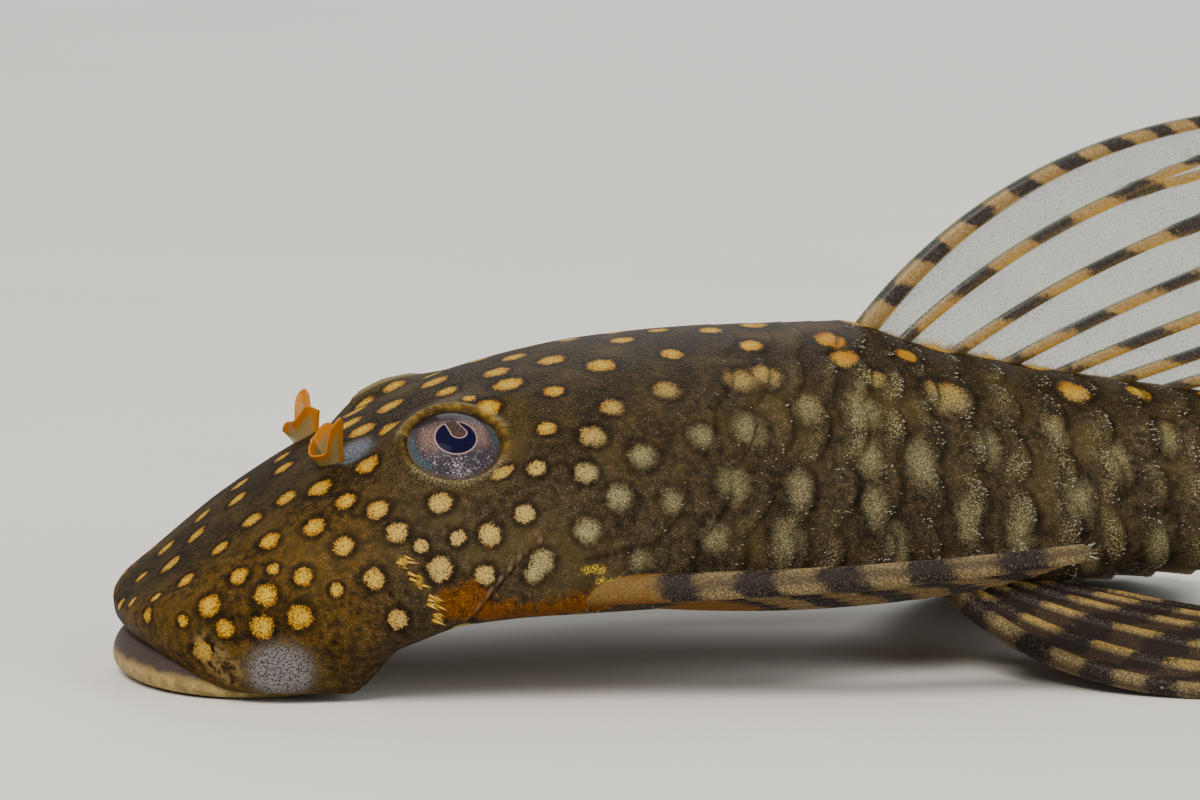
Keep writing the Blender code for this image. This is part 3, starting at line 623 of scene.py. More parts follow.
def skin_finish(colours):
    """Dark grained skin with spots, golden on the snout and back and paler on the flank."""
    skin = Finish("spotted_skin", 0.52, IOR=1.12)
    fine = skin.noise(0.06, detail=2.0)
    coarse = skin.noise(0.3)
    cloud = skin.noise(2.2)
    grain = skin.grains(0.085)
    stipple = skin.between(skin.grains(0.075), 0.55, 0.25)
    slate = skin.mix(skin.sum("MULTIPLY", skin.value("flank"), 0.7), colours.dark, colours.slate)
    base = skin.mix(skin.between(cloud, 0.42, 0.7), slate, colours.olive)
    base = skin.mix(skin.sum("MULTIPLY", skin.between(fine, 0.45, 0.62), 0.75), base, colours.olive)
    amber = skin.sum("MULTIPLY", skin.value("amber"), skin.between(coarse, 0.3, 0.65))
    base = skin.mix(skin.sum("MULTIPLY", amber, 0.6), base, colours.amber)
    taupe = skin.sum("MULTIPLY", skin.value("taupe"), skin.between(coarse, 0.25, 0.6))
    base = skin.mix(taupe, base, colours.taupe)
    pale = skin.sum("MULTIPLY", skin.value("orbit_skin"), skin.between(fine, 0.3, 0.6))
    base = skin.mix(skin.sum("MULTIPLY", pale, 0.2), base, (0.16, 0.11, 0.045))
    # Fine grains, partly gold dust and partly painted glints
    dust_and_glints = skin.sum("MULTIPLY", skin.between(grain, 0.34, 0.14), skin.between(coarse, 0.42, 0.62))
    base = skin.mix(skin.sum("MULTIPLY", dust_and_glints, skin.value("dust_and_glints")), base, colours.dust_and_glints)
    spot = skin.value("spot")
    ring = skin.sum("MULTIPLY", skin.between(spot, -0.9, -0.25), skin.value("strength"))
    base = skin.mix(skin.sum("MULTIPLY", ring, 0.7), base, colours.dark)
    base = skin.mix(skin.value("belly"), base, colours.belly)
    ragged = skin.sum("SUBTRACT", skin.sum("ADD", fine, coarse), 1.0)
    ragged = skin.sum("ADD", spot, skin.sum("MULTIPLY", ragged, 0.8))
    edge = skin.value("blur")
    mask = skin.between(ragged, skin.sum("MULTIPLY", edge, -0.7), skin.sum("MULTIPLY", edge, 1.5))
    mask = skin.sum("MULTIPLY", mask, skin.value("strength"))
    gold = skin.sum("ADD", fine, skin.sum("MULTIPLY", spot, 0.35))
    warm = skin.mix(skin.between(gold, 0.5, 0.8), colours.warm_spot, colours.gold_spot)
    spot_colour = skin.mix(skin.value("warmth"), colours.pale_spot, warm)
    speck = skin.sum("MULTIPLY", skin.sum("SUBTRACT", 1.0, stipple), skin.value("blur"))
    spot_colour = skin.mix(speck, spot_colour, colours.olive)
    spot_colour = skin.mix(skin.between(fine, 0.5, 0.3), spot_colour, colours.olive)
    crest = skin.sum("MULTIPLY", skin.value("crest"), skin.between(cloud, 0.38, 0.6))
    crest = skin.sum("MULTIPLY", crest, stipple)
    base = skin.mix(skin.sum("MULTIPLY", crest, 0.62), base, colours.pale_spot)
    base = skin.mix(mask, base, spot_colour)
    orange = skin.between(skin.sum("ADD", skin.value("orange"), ragged), 0.1, 1.3)
    base = skin.mix(skin.sum("MULTIPLY", skin.value("orange"), orange), base, colours.warm_spot)
    base = skin.mix(skin.sum("MULTIPLY", skin.value("furrow"), 0.8), base, colours.dark)
    red = skin.between(skin.sum("ADD", skin.value("red"), skin.sum("MULTIPLY", coarse, 0.8)), 0.4, 1.1)
    reddish = skin.mix(skin.between(coarse, 0.3, 0.6), (0.036, 0.013, 0.003), colours.red_skin)
    reddish = skin.mix(skin.between(fine, 0.45, 0.9), reddish, colours.warm_spot)
    base = skin.mix(red, base, reddish)
    ridges = skin.sum("SINE", skin.sum("MULTIPLY", skin.value("orbit_turn"), 75.0))
    ridges = skin.mix(skin.between(ridges, -1.2, 1.2), (0.16, 0.12, 0.055), (0.32, 0.26, 0.14))
    ridges = skin.mix(skin.between(fine, 0.55, 0.4), ridges, colours.olive)
    lid = skin.mix(skin.between(coarse, 0.35, 0.7), (0.10, 0.05, 0.008), (0.34, 0.19, 0.02))
    lid = skin.mix(skin.value("orbit_top"), ridges, lid)
    base = skin.mix(skin.value("orbit"), base, lid)
    base = skin.mix(skin.sum("MULTIPLY", skin.value("orbit_edge"), 0.45), base, (0.36, 0.29, 0.14))
    # The orange rim of the gill cover, with a painted highlight line along it
    base = skin.mix(skin.sum("MULTIPLY", skin.value("gill"), 0.75), base, (0.24, 0.15, 0.09))
    golden = skin.sum("MULTIPLY", skin.between(skin.value("golden"), 0.1, 0.8), skin.between(fine, 0.4, 0.6))
    base = skin.mix(golden, base, colours.gold_spot)
    # Painted shade in the nostril's hollow, dark blue grey with pale painted glints
    blue = skin.mix(skin.between(fine, 0.35, 0.65), (0.04, 0.045, 0.06), (0.17, 0.20, 0.25))
    base = skin.mix(skin.value("hollow"), base, blue)
    # Painted shadow in the notch above the pectoral fin's base
    base = skin.mix(skin.between(skin.value("notch"), 0.1, 0.9), base, colours.dark)
    fold = skin.sum("MULTIPLY", skin.between(skin.value("fold"), 0.0, 0.6), skin.between(coarse, 0.38, 0.6))
    base = skin.mix(skin.sum("MULTIPLY", fold, 0.7), base, (0.19, 0.13, 0.05))
    pores = skin.between(skin.grains(0.085), 0.28, 0.5)
    soft = skin.mix(skin.between(skin.value("soft"), 0.2, 0.95), (0.10, 0.085, 0.06), colours.soft_patch)
    soft = skin.mix(pores, (0.035, 0.028, 0.022), skin.mix(skin.between(coarse, 0.35, 0.6), (0.13, 0.12, 0.12), soft))
    base = skin.mix(skin.between(skin.value("soft"), 0.0, 0.6), base, soft)
    height = skin.sum("ADD", skin.sum("MULTIPLY", fine, 0.5), grain)
    return skin.wear(base, None, height, bump=0.6, depth=0.05)


def spot_field(points, spots):
    """At each point, 1 in the middle of a spot, 0 at its edge, and less outside it."""
    field = np.full(len(points), -1.0)
    for middle, radius in spots:
        flank = eased(19, 25, middle[0]) * (1 - eased(9, 11, middle[2]))
        off = (points - middle) / (1 - 0.2 * flank, 1, 1 + 0.5 * flank)
        field = np.maximum(field, 1 - np.linalg.norm(off, axis=1) / radius)
    return field


def spots_on(points, share, station, spacing):
    """Middles and radii of all spots: those seen in the photograph, the same on the other side with
    small shifts, and more where it doesn't show the skin."""
    draw = random.Random(SEED)
    spots = []
    for patch, width in SPOT_WIDTHS:
        for place in patch:
            middle, _ = on_skin(place)
            grow = 0.55 + 0.45 * eased(12, 26, middle[0]) if width > 1 else 1.0
            spots.append((middle, grow * width / 2 * draw.uniform(0.85, 1.15)))
    for middle, radius in list(spots):
        if middle[1] < -0.8:
            shift = np.array([draw.uniform(-0.35, 0.35), 0, draw.uniform(-0.25, 0.25)])
            spots.append((middle * (1, -1, 1) + shift, radius))
    order = list(range(len(points)))
    draw.shuffle(order)
    middles = np.array([middle for middle, _ in spots])
    for i in order[::9]:
        if station[i] < 11 and share[i] > 0.5:
            continue
        grow = 1 + 0.35 * eased(15, 30, station[i]) - 0.2 * (1 - eased(2, 7, station[i]))
        if share[i] > 0.66 + 0.25 * eased(34, 46, station[i]):
            continue
        if abs(points[i][1]) > 1.2 and 0.1 < share[i] < 0.62 and station[i] < 36:
            continue
        if np.min(np.linalg.norm(middles - points[i], axis=1)) > spacing * grow:
            spots.append((points[i], 0.27 * spacing * grow * draw.uniform(0.85, 1.15)))
            middles = np.vstack([middles, points[i]])
    return spots


def window(stops, at):
    """0 outside the first and last of four stops and 1 between the middle two."""
    return eased(stops[0], stops[1], at) * (1 - eased(stops[2], stops[3], at))


def with_mouth(points):
    """Draws the skin's lower edge down to the floor round the mouth and hollows the gape."""
    x, y, z = points.T
    reach = np.abs(y) + 0.9 * np.clip(4.4 - x, 0, 4)
    side = window(SKIRT_STATIONS, x) * window(SKIRT_REACH, np.abs(y))
    front = (1 - eased(3.2, 4.4, x)) * eased(2.7, 3.9, np.hypot(np.clip(LIP_CENTRE - x, 0, 5), 0.72 * y))
    low = 1 - eased(1.5, 3.3, z)
    floor = 0.16 + 0.95 * (1 - eased(0, 3.6, x))
    w = np.clip(side + front, 0, 1) * low
    z = z * (1 - w) + np.minimum(z, floor + 0.3 * np.clip(z - 0.8, 0, 2)) * w
    gape = 1 - np.hypot((x - GAPE_AT) / GAPE_RADII[0], y / GAPE_RADII[1])
    z = z + GAPE_DEPTH * eased(-0.1, 0.5, gape) * (z < 2)
    return np.stack([x, y, z], axis=1)


def skin_shape(rise):
    """The skin's closed surface, with the station, share, furrows and place of each point."""
    bm, around, along = flat_grid(SKIN_ROUND, SKIN_ALONG)
    station = np.interp(along, *zip(*SKIN_STATIONS))
    side = np.where(around < 0.5, -1.0, 1.0)
    share = np.interp(1 - np.abs(2 * around - 1), *zip(*SKIN_SHARES))
    share = np.where(np.abs(around - 0.5) < 1e-6, 1.0, share)
    lift, furrow = skin_lift(station, share, rise)
    points = with_mouth(skin_at(station, share, side, lift)[0])
    points[:, 1] *= 1 - 0.75 * eased(LENGTH - STALK_TAPER, LENGTH, points[:, 0]) ** 2
    move_to(bm, points)
    bmesh.ops.remove_doubles(bm, verts=bm.verts, dist=0.0005)
    bmesh.ops.holes_fill(bm, edges=[edge for edge in bm.edges if edge.is_boundary], sides=0)
    bmesh.ops.recalc_face_normals(bm, faces=bm.faces)
    return bm, station, share, furrow, points


@lru_cache
def skin_tree():
    """The skin's surface, to find what lies on it."""
    bm, *_ = skin_shape(0.0)
    tree = BVHTree.FromBMesh(bm)
    bm.free()
    return tree


def on_skin(place):
    """Where a pixel of the photograph's frame lies on the skin, and the way out of it there."""
    eye, way = photo_ray(*place)
    hit, normal, *_ = skin_tree().ray_cast(Vector(eye), Vector(way))
    if hit is None:
        raise RuntimeError(f"the pixel at {place} misses the skin")
    return np.array(hit), np.array(normal)


def patch_field(points, places, radius):
    """1 in the middle of patches round places of the photograph's frame, and 0 past their edges."""
    field = np.zeros(len(points))
    for place in places:
        middle, _ = on_skin(place)
        field = np.maximum(field, 1 - np.linalg.norm(points - middle, axis=1) / radius)
    return np.clip(field, 0, 1)


class CATFISH_OT_skin(Operator):
    """Makes the one skin of the head, body and tail stalk"""

    bl_idname = "catfish.skin"
    bl_label = "Skin"

    def execute(self, context):
        sizes, colours = context.scene.catfish_sizes, context.scene.catfish_colours
        bm, station, share, furrow, points = skin_shape(sizes.plate_rise / MM)
        spots = spots_on(points, share, station, sizes.spot_spacing / MM)
        left = np.stack([points[:, 0], -np.abs(points[:, 1]), points[:, 2]], axis=1)
        across, up, out = eye_plane(left * (1, -1, 1))
        ring = np.hypot(across, up)
        near_eye = np.abs(out) < 1.2
        flank = eased(12, 19, station) * eased(0.12, 0.3, share)
        cheek = eased(5, 11, station) * eased(0.24, 0.42, share)
        hollow = on_skin(NOSTRIL_SHADE_AND_GLINT)[0]
        soft = (left - on_skin(SOFT_PATCH)[0]) / (1.15, 2.0, 1.0)
        orbit = hump(ring, 1.87, 0.085 + 0.055 * eased(0.2, 1.4, -up)) * (0.35 + 0.5 * eased(0.1, 1.2, np.abs(up)))
        values = {
            "spot": spot_field(points, spots),
            "warmth": np.clip(1 - 0.45 * cheek - 0.85 * flank, 0, 1),
            "blur": 0.14 + 0.45 * flank,
            "strength": 0.97 - 0.32 * flank,
            "flank": flank,
            "taupe": 0.32 * np.maximum(flank, cheek),
            # How thick the gold dust and painted glints lie, fewer along the back
            "dust_and_glints": 0.55 + 0.4 * eased(0.05, 0.3, share),
            "amber": (1 - eased(7, 10, station)) * window((0.16, 0.38, 0.56, 0.7), share),
            "belly": eased(0.66, 0.78, share) * (1 - 0.5 * eased(36, 48, station)) * eased(1.5, 3.5, points[:, 0]),
            "furrow": furrow,
            "crest": plate_middles(station, share),
            "orbit": np.where(near_eye, orbit, 0),
            "orbit_skin": np.where(near_eye, hump(ring, 2.45, 0.55), 0),
            "orbit_edge": np.where(near_eye, hump(ring, 2.06, 0.07) * eased(0.2, 1.0, up), 0),
            "orbit_top": eased(-0.9, 0.1, up + 0.25 * np.abs(across)),
            "orbit_turn": np.arctan2(across, -up),
            # The gill cover's orange rim and its painted highlight line
            "gill": gill_rim_highlight(station, share),
            # Where the painted shade and glints of the nostril's hollow lie
            "hollow": 0.9 * np.exp(-(np.linalg.norm(left - hollow, axis=1) / 0.72) ** 4),
            "soft": np.exp(-(np.linalg.norm(soft, axis=1) ** 3)),
            "red": patch_field(left, RED_SKIN, 0.85),
            "orange": patch_field(left, ORANGE_SKIN, 1.05),
            "golden": np.maximum(patch_field(left, CHEEK_SPINE_LINE, 0.3), patch_field(left, SHOULDER_GOLD, 0.24)),
            # Where the painted shadow of the shoulder's notch lies
            "notch": 0.85 * patch_field(left, SHOULDER_NOTCH_SHADOW, 0.32),
            "fold": patch_field(left, MOUTH_FOLD, 0.75),
        }
        flesh = ("head", "gill_cover_left", "gill_cover_right", "trunk_front", "trunk_rear", "tail_stalk")
        make_piece(bm, "skin", skin_finish(colours), flesh, values)
        return {"FINISHED"}


def eye_finish(colours):
    """A glossy eye: a speckled iris round a dark pupil with a lobe hanging into it, and painted shade across the
    iris's top.
    """
    eye = Finish("eye", 0.3, IOR=1.05, Coat_Weight=0.16, Coat_Roughness=0.03, Coat_IOR=1.2)
    across, up = eye.value("across"), eye.value("up")

    def reach(side, rise):
        return eye.sum("SQRT", eye.sum("ADD", eye.sum("MULTIPLY", side, side), eye.sum("MULTIPLY", rise, rise)))

    low = eye.sum("MULTIPLY", eye.sum("SUBTRACT", up, -0.17), 1.03)
    pupil = eye.sum("SUBTRACT", reach(eye.sum("SUBTRACT", across, 0.02), low), 0.745)
    over = eye.sum("MAXIMUM", eye.sum("SUBTRACT", up, 0.02), 0.0)
    under = eye.sum("MINIMUM", eye.sum("SUBTRACT", up, 0.02), 0.0)
    lean = eye.sum("SUBTRACT", 0.14, eye.sum("MULTIPLY", over, 0.42))
    narrow = eye.sum("SUBTRACT", 0.31, eye.sum("MULTIPLY", eye.between(over, 0.0, 0.4), 0.06))
    lobe = eye.sum("SUBTRACT", reach(eye.sum("SUBTRACT", across, lean), under), narrow)
    shape = eye.sum("MAXIMUM", pupil, eye.sum("MULTIPLY", lobe, -1.0))
    ring = reach(across, up)
    speckle, fleck = eye.noise(0.045, detail=1.5), eye.noise(0.25)
    below = eye.sum("MULTIPLY", eye.between(up, -0.8, -1.3), eye.between(eye.sum("ABSOLUTE", across), 0.75, 0.1))
    dense = eye.sum("ADD", speckle, eye.sum("MULTIPLY", below, 0.1))
    silver = eye.between(eye.sum("ADD", dense, eye.sum("MULTIPLY", fleck, 0.4)), 0.79, 0.95)
    iris = eye.mix(silver, colours.iris, (0.38, 0.34, 0.35))
    beside = eye.between(eye.sum("ABSOLUTE", up), 0.95, 0.15)
    brown = eye.sum("MULTIPLY", beside, eye.between(ring, 1.5, 1.0))
    iris = eye.mix(eye.sum("MULTIPLY", brown, eye.between(speckle, 0.25, 0.75)), iris, (0.24, 0.145, 0.105))
    blue = eye.mix(eye.between(speckle, 0.3, 0.7), (0.012, 0.018, 0.022), (0.07, 0.11, 0.13))
    sides = eye.between(eye.sum("ABSOLUTE", eye.sum("ADD", up, eye.sum("MULTIPLY", across, -0.35))), 1.25, 0.5)
    iris = eye.mix(eye.sum("MULTIPLY", eye.between(ring, 1.36, 1.5), sides), iris, blue)
    outer = eye.mix(speckle, (0.02, 0.014, 0.012), (0.14, 0.10, 0.07))
    iris = eye.mix(eye.between(ring, 1.52, 1.7), iris, outer)
    # Painted shade of the orbit's overhanging rim darkens the top of the iris
    iris = eye.mix(eye.between(up, 0.55, 1.0), iris, (0.014, 0.009, 0.010))
    inside = eye.mix(eye.between(speckle, 0.35, 0.6), (0.022, 0.013, 0.012), (0.065, 0.042, 0.036))
    hanging = eye.sum("MULTIPLY", eye.between(lobe, 0.02, -0.02), eye.between(pupil, 0.12, 0.0))
    iris = eye.mix(hanging, iris, inside)
    edge = eye.sum("MULTIPLY", eye.between(eye.sum("ABSOLUTE", shape), 0.045, 0.012), eye.between(speckle, 0.1, 0.5))
    iris = eye.mix(edge, iris, (0.30, 0.20, 0.20))
    return eye.wear(eye.mix(eye.between(shape, 0.0, -0.025), iris, colours.pupil))


class CATFISH_OT_eyes(Operator):
    """Makes both eyes"""

    bl_idname = "catfish.eyes"
    bl_label = "Eyes"

    def execute(self, context):
        finish = eye_finish(context.scene.catfish_colours)
        for word, side in (("left", -1), ("right", 1)):
            bm = bmesh.new()
            bmesh.ops.create_uvsphere(bm, u_segments=96, v_segments=64, radius=EYE_RADIUS)
            centre = Vector(EYE_AT - EYE_LOOK * EYE_SUNK) * Vector((1, side, 1))
            turn = Vector(EYE_LOOK * (1, side, 1)).to_track_quat("Z", "Y").to_matrix().to_4x4()
            bmesh.ops.transform(bm, matrix=Matrix.Translation(centre) @ turn, verts=bm.verts)
            points = numbered(bm) * (1, side, 1)
            across, up, _ = eye_plane(points)
            make_piece(bm, f"eye_{word}_ball", finish, (f"eye_{word}",), {"across": across, "up": up})
        return {"FINISHED"}


def quadratic(three, at):
    """The smooth line through three points, at 0 the first, at 0.5 the second and at 1 the third."""
    first, second, third = (np.asarray(p, float) for p in three)
    at = np.asarray(at, float)[..., None]
    return first * (2 * at - 1) * (at - 1) + second * 4 * at * (1 - at) + third * at * (2 * at - 1)


def fin_points(keys, across, along):
    """Points of a fin's middle surface, with the ways across and along it and their lengths."""
    lines = [quadratic(key, along) for key in keys]
    share = across[:, None]
    weights = (2 * share - 1) * (share - 1), 4 * share * (1 - share), share * (2 * share - 1)
    slopes = 4 * share - 3, 4 - 8 * share, 4 * share - 1
    points = sum(line * weight for line, weight in zip(lines, weights))
    way_across = sum(line * slope for line, slope in zip(lines, slopes))
    ahead = [quadratic(key, along + 0.01) for key in keys]
    way_along = sum(line * weight for line, weight in zip(ahead, weights)) - points
    return points, way_across, way_along * 100


def make_fin(name, keys, rays, spine, ray, finish, pitch, side=1, columns=16, rows=70, web=0.09, fork=0.45,
             line=(0.75, 0.5), notch=0.022):
    """A fin whose rays stand as ridges in its thin skin. spine and ray are (half thickness, width),
    and pitch says how far apart the bars of the spine and of the rays are."""
    bm, across, along = flat_grid(columns * (rays - 1), rows)
    keys = np.array(keys) * (1, side, 1)
    counted = across * (rays - 1)
    number = np.round(counted)
    short = 2 * notch * np.abs(counted - number) * along**5
    points, way_across, way_along = fin_points(keys, across, along * (1 - short))
    gap = np.linalg.norm(np.cross(way_across, unit(way_along)), axis=1) / (rays - 1)
    leading = number == 0
    off = (counted - number) * gap
    spread = np.where(leading, 0, 0.24 * gap * eased(fork, 1, along))
    off = np.where(off > 0, off - spread, off + spread)
    thin = 1 - 0.45 * along
    width = np.where(leading, spine[1] * thin, ray[1] * (1 - 0.35 * eased(fork, 1, along)))
    place = np.where(leading, 2 * off / width - 1, 2 * off / width)
    round_top = np.sqrt(np.clip(1 - place**2, 0, 1))
    half = np.where(leading, spine[0], ray[0]) * thin
    skin = web * thin
    thick = np.maximum(skin + (half - skin) * round_top, 0.025)
    thick = np.where(along > 0.985, 0.025, thick)
    thicken(bm, points, thick)
    reach = np.linalg.norm(way_along, axis=1) * along
    draw = random.Random(SEED)
    shift = np.array([draw.uniform(-0.12, 0.12) for _ in range(rays)])[number.astype(int)]
    values = {
        "ray": 1 - eased(0.75, 1.15, np.abs(place)),
        "line": np.where(leading, hump(place, 0.8, 0.2), hump(place, *line)) * (along > 0.04),
        "along": along,
        "reach": reach,
        "leading": leading.astype(float),
        "phase": reach / np.where(leading, *pitch) + shift,
        "between": np.clip(np.abs(counted - number) * 2, 0, 1),
    }
    return make_piece(bm, f"{name}_skin", finish, (name,), values)


def fin_finish(name, colours, light, web, clear, streak_colour, root_reach=1.1):
    """Barred rays with a gold line down each, in a web that is clear or, at 1, not at all."""
    fin = Finish(name, 0.45 + 0.15 * clear, Coat_Weight=0.12 * (1 - clear), Specular_IOR_Level=0.3 - 0.18 * clear)
    fine = fin.noise(0.07, detail=2.0)
    coarse = fin.noise(0.45)
    turn = fin.sum("MULTIPLY", fin.value("phase"), 2 * math.pi)
    wave = fin.sum("ADD", fin.sum("SINE", fin.sum("ADD", turn, fin.sum("MULTIPLY", coarse, 2.2))), fine)
    bar = fin.between(wave, 0.25 - 0.45 * clear, 0.85 + 0.25 * clear)
    ray_colour = fin.mix(fin.between(fine, 0.35, 0.7), fin.mix(0.45, light, colours.ray_dark), light)
    ray_colour = fin.mix(bar, ray_colour, colours.ray_dark)
    grain = fin.between(fin.grains(0.09), 0.48, 0.26)
    lit = fin.sum("MULTIPLY", grain, fin.sum("SUBTRACT", 1.0, fin.sum("MULTIPLY", bar, 0.75)))
    ray_colour = fin.mix(fin.sum("MULTIPLY", lit, 0.3 + 0.25 * clear), ray_colour, (0.35, 0.28, 0.16))
    streak = fin.sum("MULTIPLY", fin.value("line"), fin.sum("SUBTRACT", 1.0, fin.sum("MULTIPLY", bar, 0.7 + 0.3 * clear)))
    streak = fin.sum("MULTIPLY", streak, fin.between(fin.sum("ADD", grain, coarse), 0.2, 0.5 + 0.5 * clear))
    ray_colour = fin.mix(streak, ray_colour, streak_colour)
    ray = fin.value("ray")
    near = fin.between(fin.value("reach"), 9.0, 0.5)
    milky = fin.between(fin.sum("ADD", fin.grains(0.12), fin.sum("MULTIPLY", coarse, 0.5)), 0.7, 0.35)
    sheen = fin.sum("MULTIPLY", fin.sum("MULTIPLY", near, milky), 1 - clear)
    web_colour = fin.mix(sheen, web, colours.sheen)
    dots = fin.sum("MULTIPLY", fin.between(fin.grains(0.15), 0.26, 0.12), 0.65)
    web_colour = fin.mix(dots, web_colour, fin.mix(clear, colours.ray_dark, light))
    dusk = fin.sum("MULTIPLY", fin.between(wave, 0.0, 0.8), clear)
    web_colour = fin.mix(fin.sum("MULTIPLY", dusk, 0.8), web_colour, colours.ray_dark)
    root = fin.between(fin.sum("ADD", fin.value("reach"), coarse), root_reach + 0.5, root_reach - 0.4)
    colour = fin.mix(ray, web_colour, ray_colour)
    fleshy = fin.mix(fin.between(fine, 0.35, 0.75), colours.amber, colours.dusky_light)
    fleshy = fin.mix(clear, colours.ray_dark, fleshy)
    colour = fin.mix(root, colour, fin.mix(fin.value("between"), fleshy, streak_colour))
    alpha = fin.sum("ADD", clear, fin.sum("MULTIPLY", fin.sum("MAXIMUM", sheen, dots), 0.55))
    alpha = fin.sum("MAXIMUM", fin.sum("MAXIMUM", ray, root), alpha)
    fin.feed(fin.shader.inputs["Alpha"], fin.sum("MINIMUM", alpha, 1.0))
    joints = fin.sum("SINE", fin.sum("MULTIPLY", fin.value("reach"), 16.0))
    height = fin.sum("ADD", fine, fin.sum("MULTIPLY", joints, 0.25))
    return fin.wear(colour, None, height, bump=0.4, depth=0.03)


class CATFISH_OT_fins(Operator):
    """Makes every fin with its rays and web"""

    bl_idname = "catfish.fins"
    bl_label = "Fins"

    def execute(self, context):
        colours = context.scene.catfish_colours
        clear = fin_finish("clear_fin", colours, colours.ray_light, colours.web, 0.3, colours.streak)
        tail = fin_finish("tail_fin", colours, colours.ray_light, colours.web, 0.5, colours.streak)
        dusky = fin_finish("dusky_fin", colours, colours.dusky_light, colours.dusky_web, 1.0, colours.dusky_streak)
        breast = fin_finish("breast_fin", colours, colours.dusky_light, colours.dusky_web, 1.0, colours.red_skin, 5.2)
        bars = 2.1, 3.6
        make_fin("dorsal_fin", DORSAL_RAYS, 8, (0.42, 0.86), (0.24, 0.48), clear, bars, columns=22, rows=110, notch=0.05)
        make_fin("tail_fin", CAUDAL_RAYS, 14, (0.4, 0.6), (0.24, 0.34), tail, bars, columns=12, rows=90)
        make_fin("adipose_fin", ADIPOSE_RAYS, 3, (0.42, 0.6), (0.26, 0.4), clear, bars, rows=40)
        make_fin("anal_fin", ANAL_RAYS, 5, (0.36, 0.5), (0.24, 0.34), dusky, (1.8, 1.8), rows=50)
        for word, side in (("left", -1), ("right", 1)):
            spine, bars = (0.62, 0.88), (2.6, 2.4)
            make_fin(f"pectoral_fin_{word}", PECTORAL_RAYS, 7, spine, (0.27, 0.4), breast, bars, side, line=(0, 0.5))
            spine, bars = (0.48, 0.7), (2.6, 2.9)
            make_fin(f"pelvic_fin_{word}", PELVIC_RAYS, 6, spine, (0.27, 0.42), dusky, bars, side, columns=22, line=(0, 0.8))
        return {"FINISHED"}


def lip_finish(colours):
    """Soft skin, cream at the edge and purple grey with fine stripes above, with small round dots."""
    lip = Finish("lip", 0.5, IOR=1.25, Subsurface_Weight=0.1, Subsurface_Scale=0.0006)
    coarse = lip.noise(0.5)
    border = lip.between(lip.sum("ADD", lip.value("upper"), lip.sum("MULTIPLY", coarse, 0.35)), 0.42, 0.66)
    stripe = lip.sum("SINE", lip.sum("MULTIPLY", lip.value("around"), 840.0))
    stripe = lip.between(lip.sum("ADD", stripe, lip.sum("MULTIPLY", coarse, 2.0)), 0.3, 1.6)
    upper = lip.mix(stripe, colours.lip_border, (0.062, 0.045, 0.038))
    cream = lip.mix(lip.between(coarse, 0.35, 0.65), lip.mix(0.5, colours.lip, colours.olive), colours.lip)
    dots = lip.between(lip.grains(0.13), 0.3, 0.18)
    cream = lip.mix(lip.sum("MULTIPLY", dots, 0.35), cream, colours.olive)
    height = lip.sum("ADD", lip.grains(0.16), lip.sum("MULTIPLY", stripe, 0.5))
    return lip.wear(lip.mix(border, cream, upper), None, height, bump=0.5, depth=0.05)


class CATFISH_OT_lips(Operator):
    """Makes the front lip and the broad rear lip of the sucker"""

    bl_idname = "catfish.lips"
    bl_label = "Lips"

    def execute(self, context):
        finish = lip_finish(context.scene.catfish_colours)
        bm, roll, turn = flat_grid(40, 160)
        angle = (2 * turn - 1) * LIP_ENDS
        front = np.cos(angle).clip(0)
        tall = (0.36 + 0.45 * front) * np.sqrt(np.clip(1 - np.abs(2 * turn - 1) ** 10, 0.0, 1))
        deep = 0.62 * tall + 0.12
        inner = LIP_CENTRE - LIP_FRONT - 0.48, LIP_HALF_WIDTH - 0.4
        away = unit(np.stack([-np.cos(angle) * inner[1], np.sin(angle) * inner[0], np.zeros_like(angle)], 1))
        centre = np.stack([LIP_CENTRE - inner[0] * np.cos(angle), inner[1] * np.sin(angle), tall], 1)
        centre[:, 2] += 0.05 + 0.04 * front
        spin = roll * 2 * math.pi
        points = centre + (deep * np.cos(spin) * (1 - 0.2 * np.sin(spin)))[:, None] * away
        points[:, 2] += tall * np.sin(spin)
        points[:, 2] = np.maximum(points[:, 2], 0.0)
        move_to(bm, points)
        bmesh.ops.remove_doubles(bm, verts=bm.verts, dist=0.0005)
        upper = 0.5 + 0.5 * np.sin(spin - 0.35)
        make_piece(bm, "front_lip", finish, ("upper_lip",), {"upper": upper, "around": turn})

        bm, across, level = flat_grid(150, 34)
        angle = (2 * across - 1) * math.radians(112)
        inner = 0.42 + 0.52 * np.abs(2 * across - 1) ** 5
        reach = inner + (1 - inner) * level
        fringe = 1 + 0.025 * np.abs(np.sin(angle * 24)) * level**8
        centre = LIP_CENTRE + 0.6
        points = np.stack([
            centre + (MOUTH_REAR - centre) * reach * fringe * np.cos(angle),
            (LIP_HALF_WIDTH - 0.1) * reach * fringe * np.sin(angle),
            0.34 - 0.1 * level,
        ], axis=1)
        swell = np.sqrt(np.clip(1 - (2 * level - 1) ** 2, 0, 1)) * (1 - inner) / 0.58
        thicken(bm, points, 0.1 + 0.13 * swell)
        make_piece(bm, "rear_lip", finish, ("lower_lip",), {"upper": np.zeros(len(points)), "around": across})
        return {"FINISHED"}


def flap_finish(colours):
    """Clear skin edged with orange."""
    flap = Finish("nasal_flap", 0.4, IOR=1.25)
    fine = flap.noise(0.12)
    rim = flap.between(flap.sum("ADD", flap.value("rim"), flap.sum("MULTIPLY", fine, 0.3)), 0.4, 0.8)
    flap.feed(flap.shader.inputs["Alpha"], flap.sum("ADD", 0.7, flap.sum("MULTIPLY", rim, 0.3)))
    return flap.wear(flap.mix(rim, (0.26, 0.18, 0.06), colours.flap), None, fine, bump=0.3, depth=0.04)


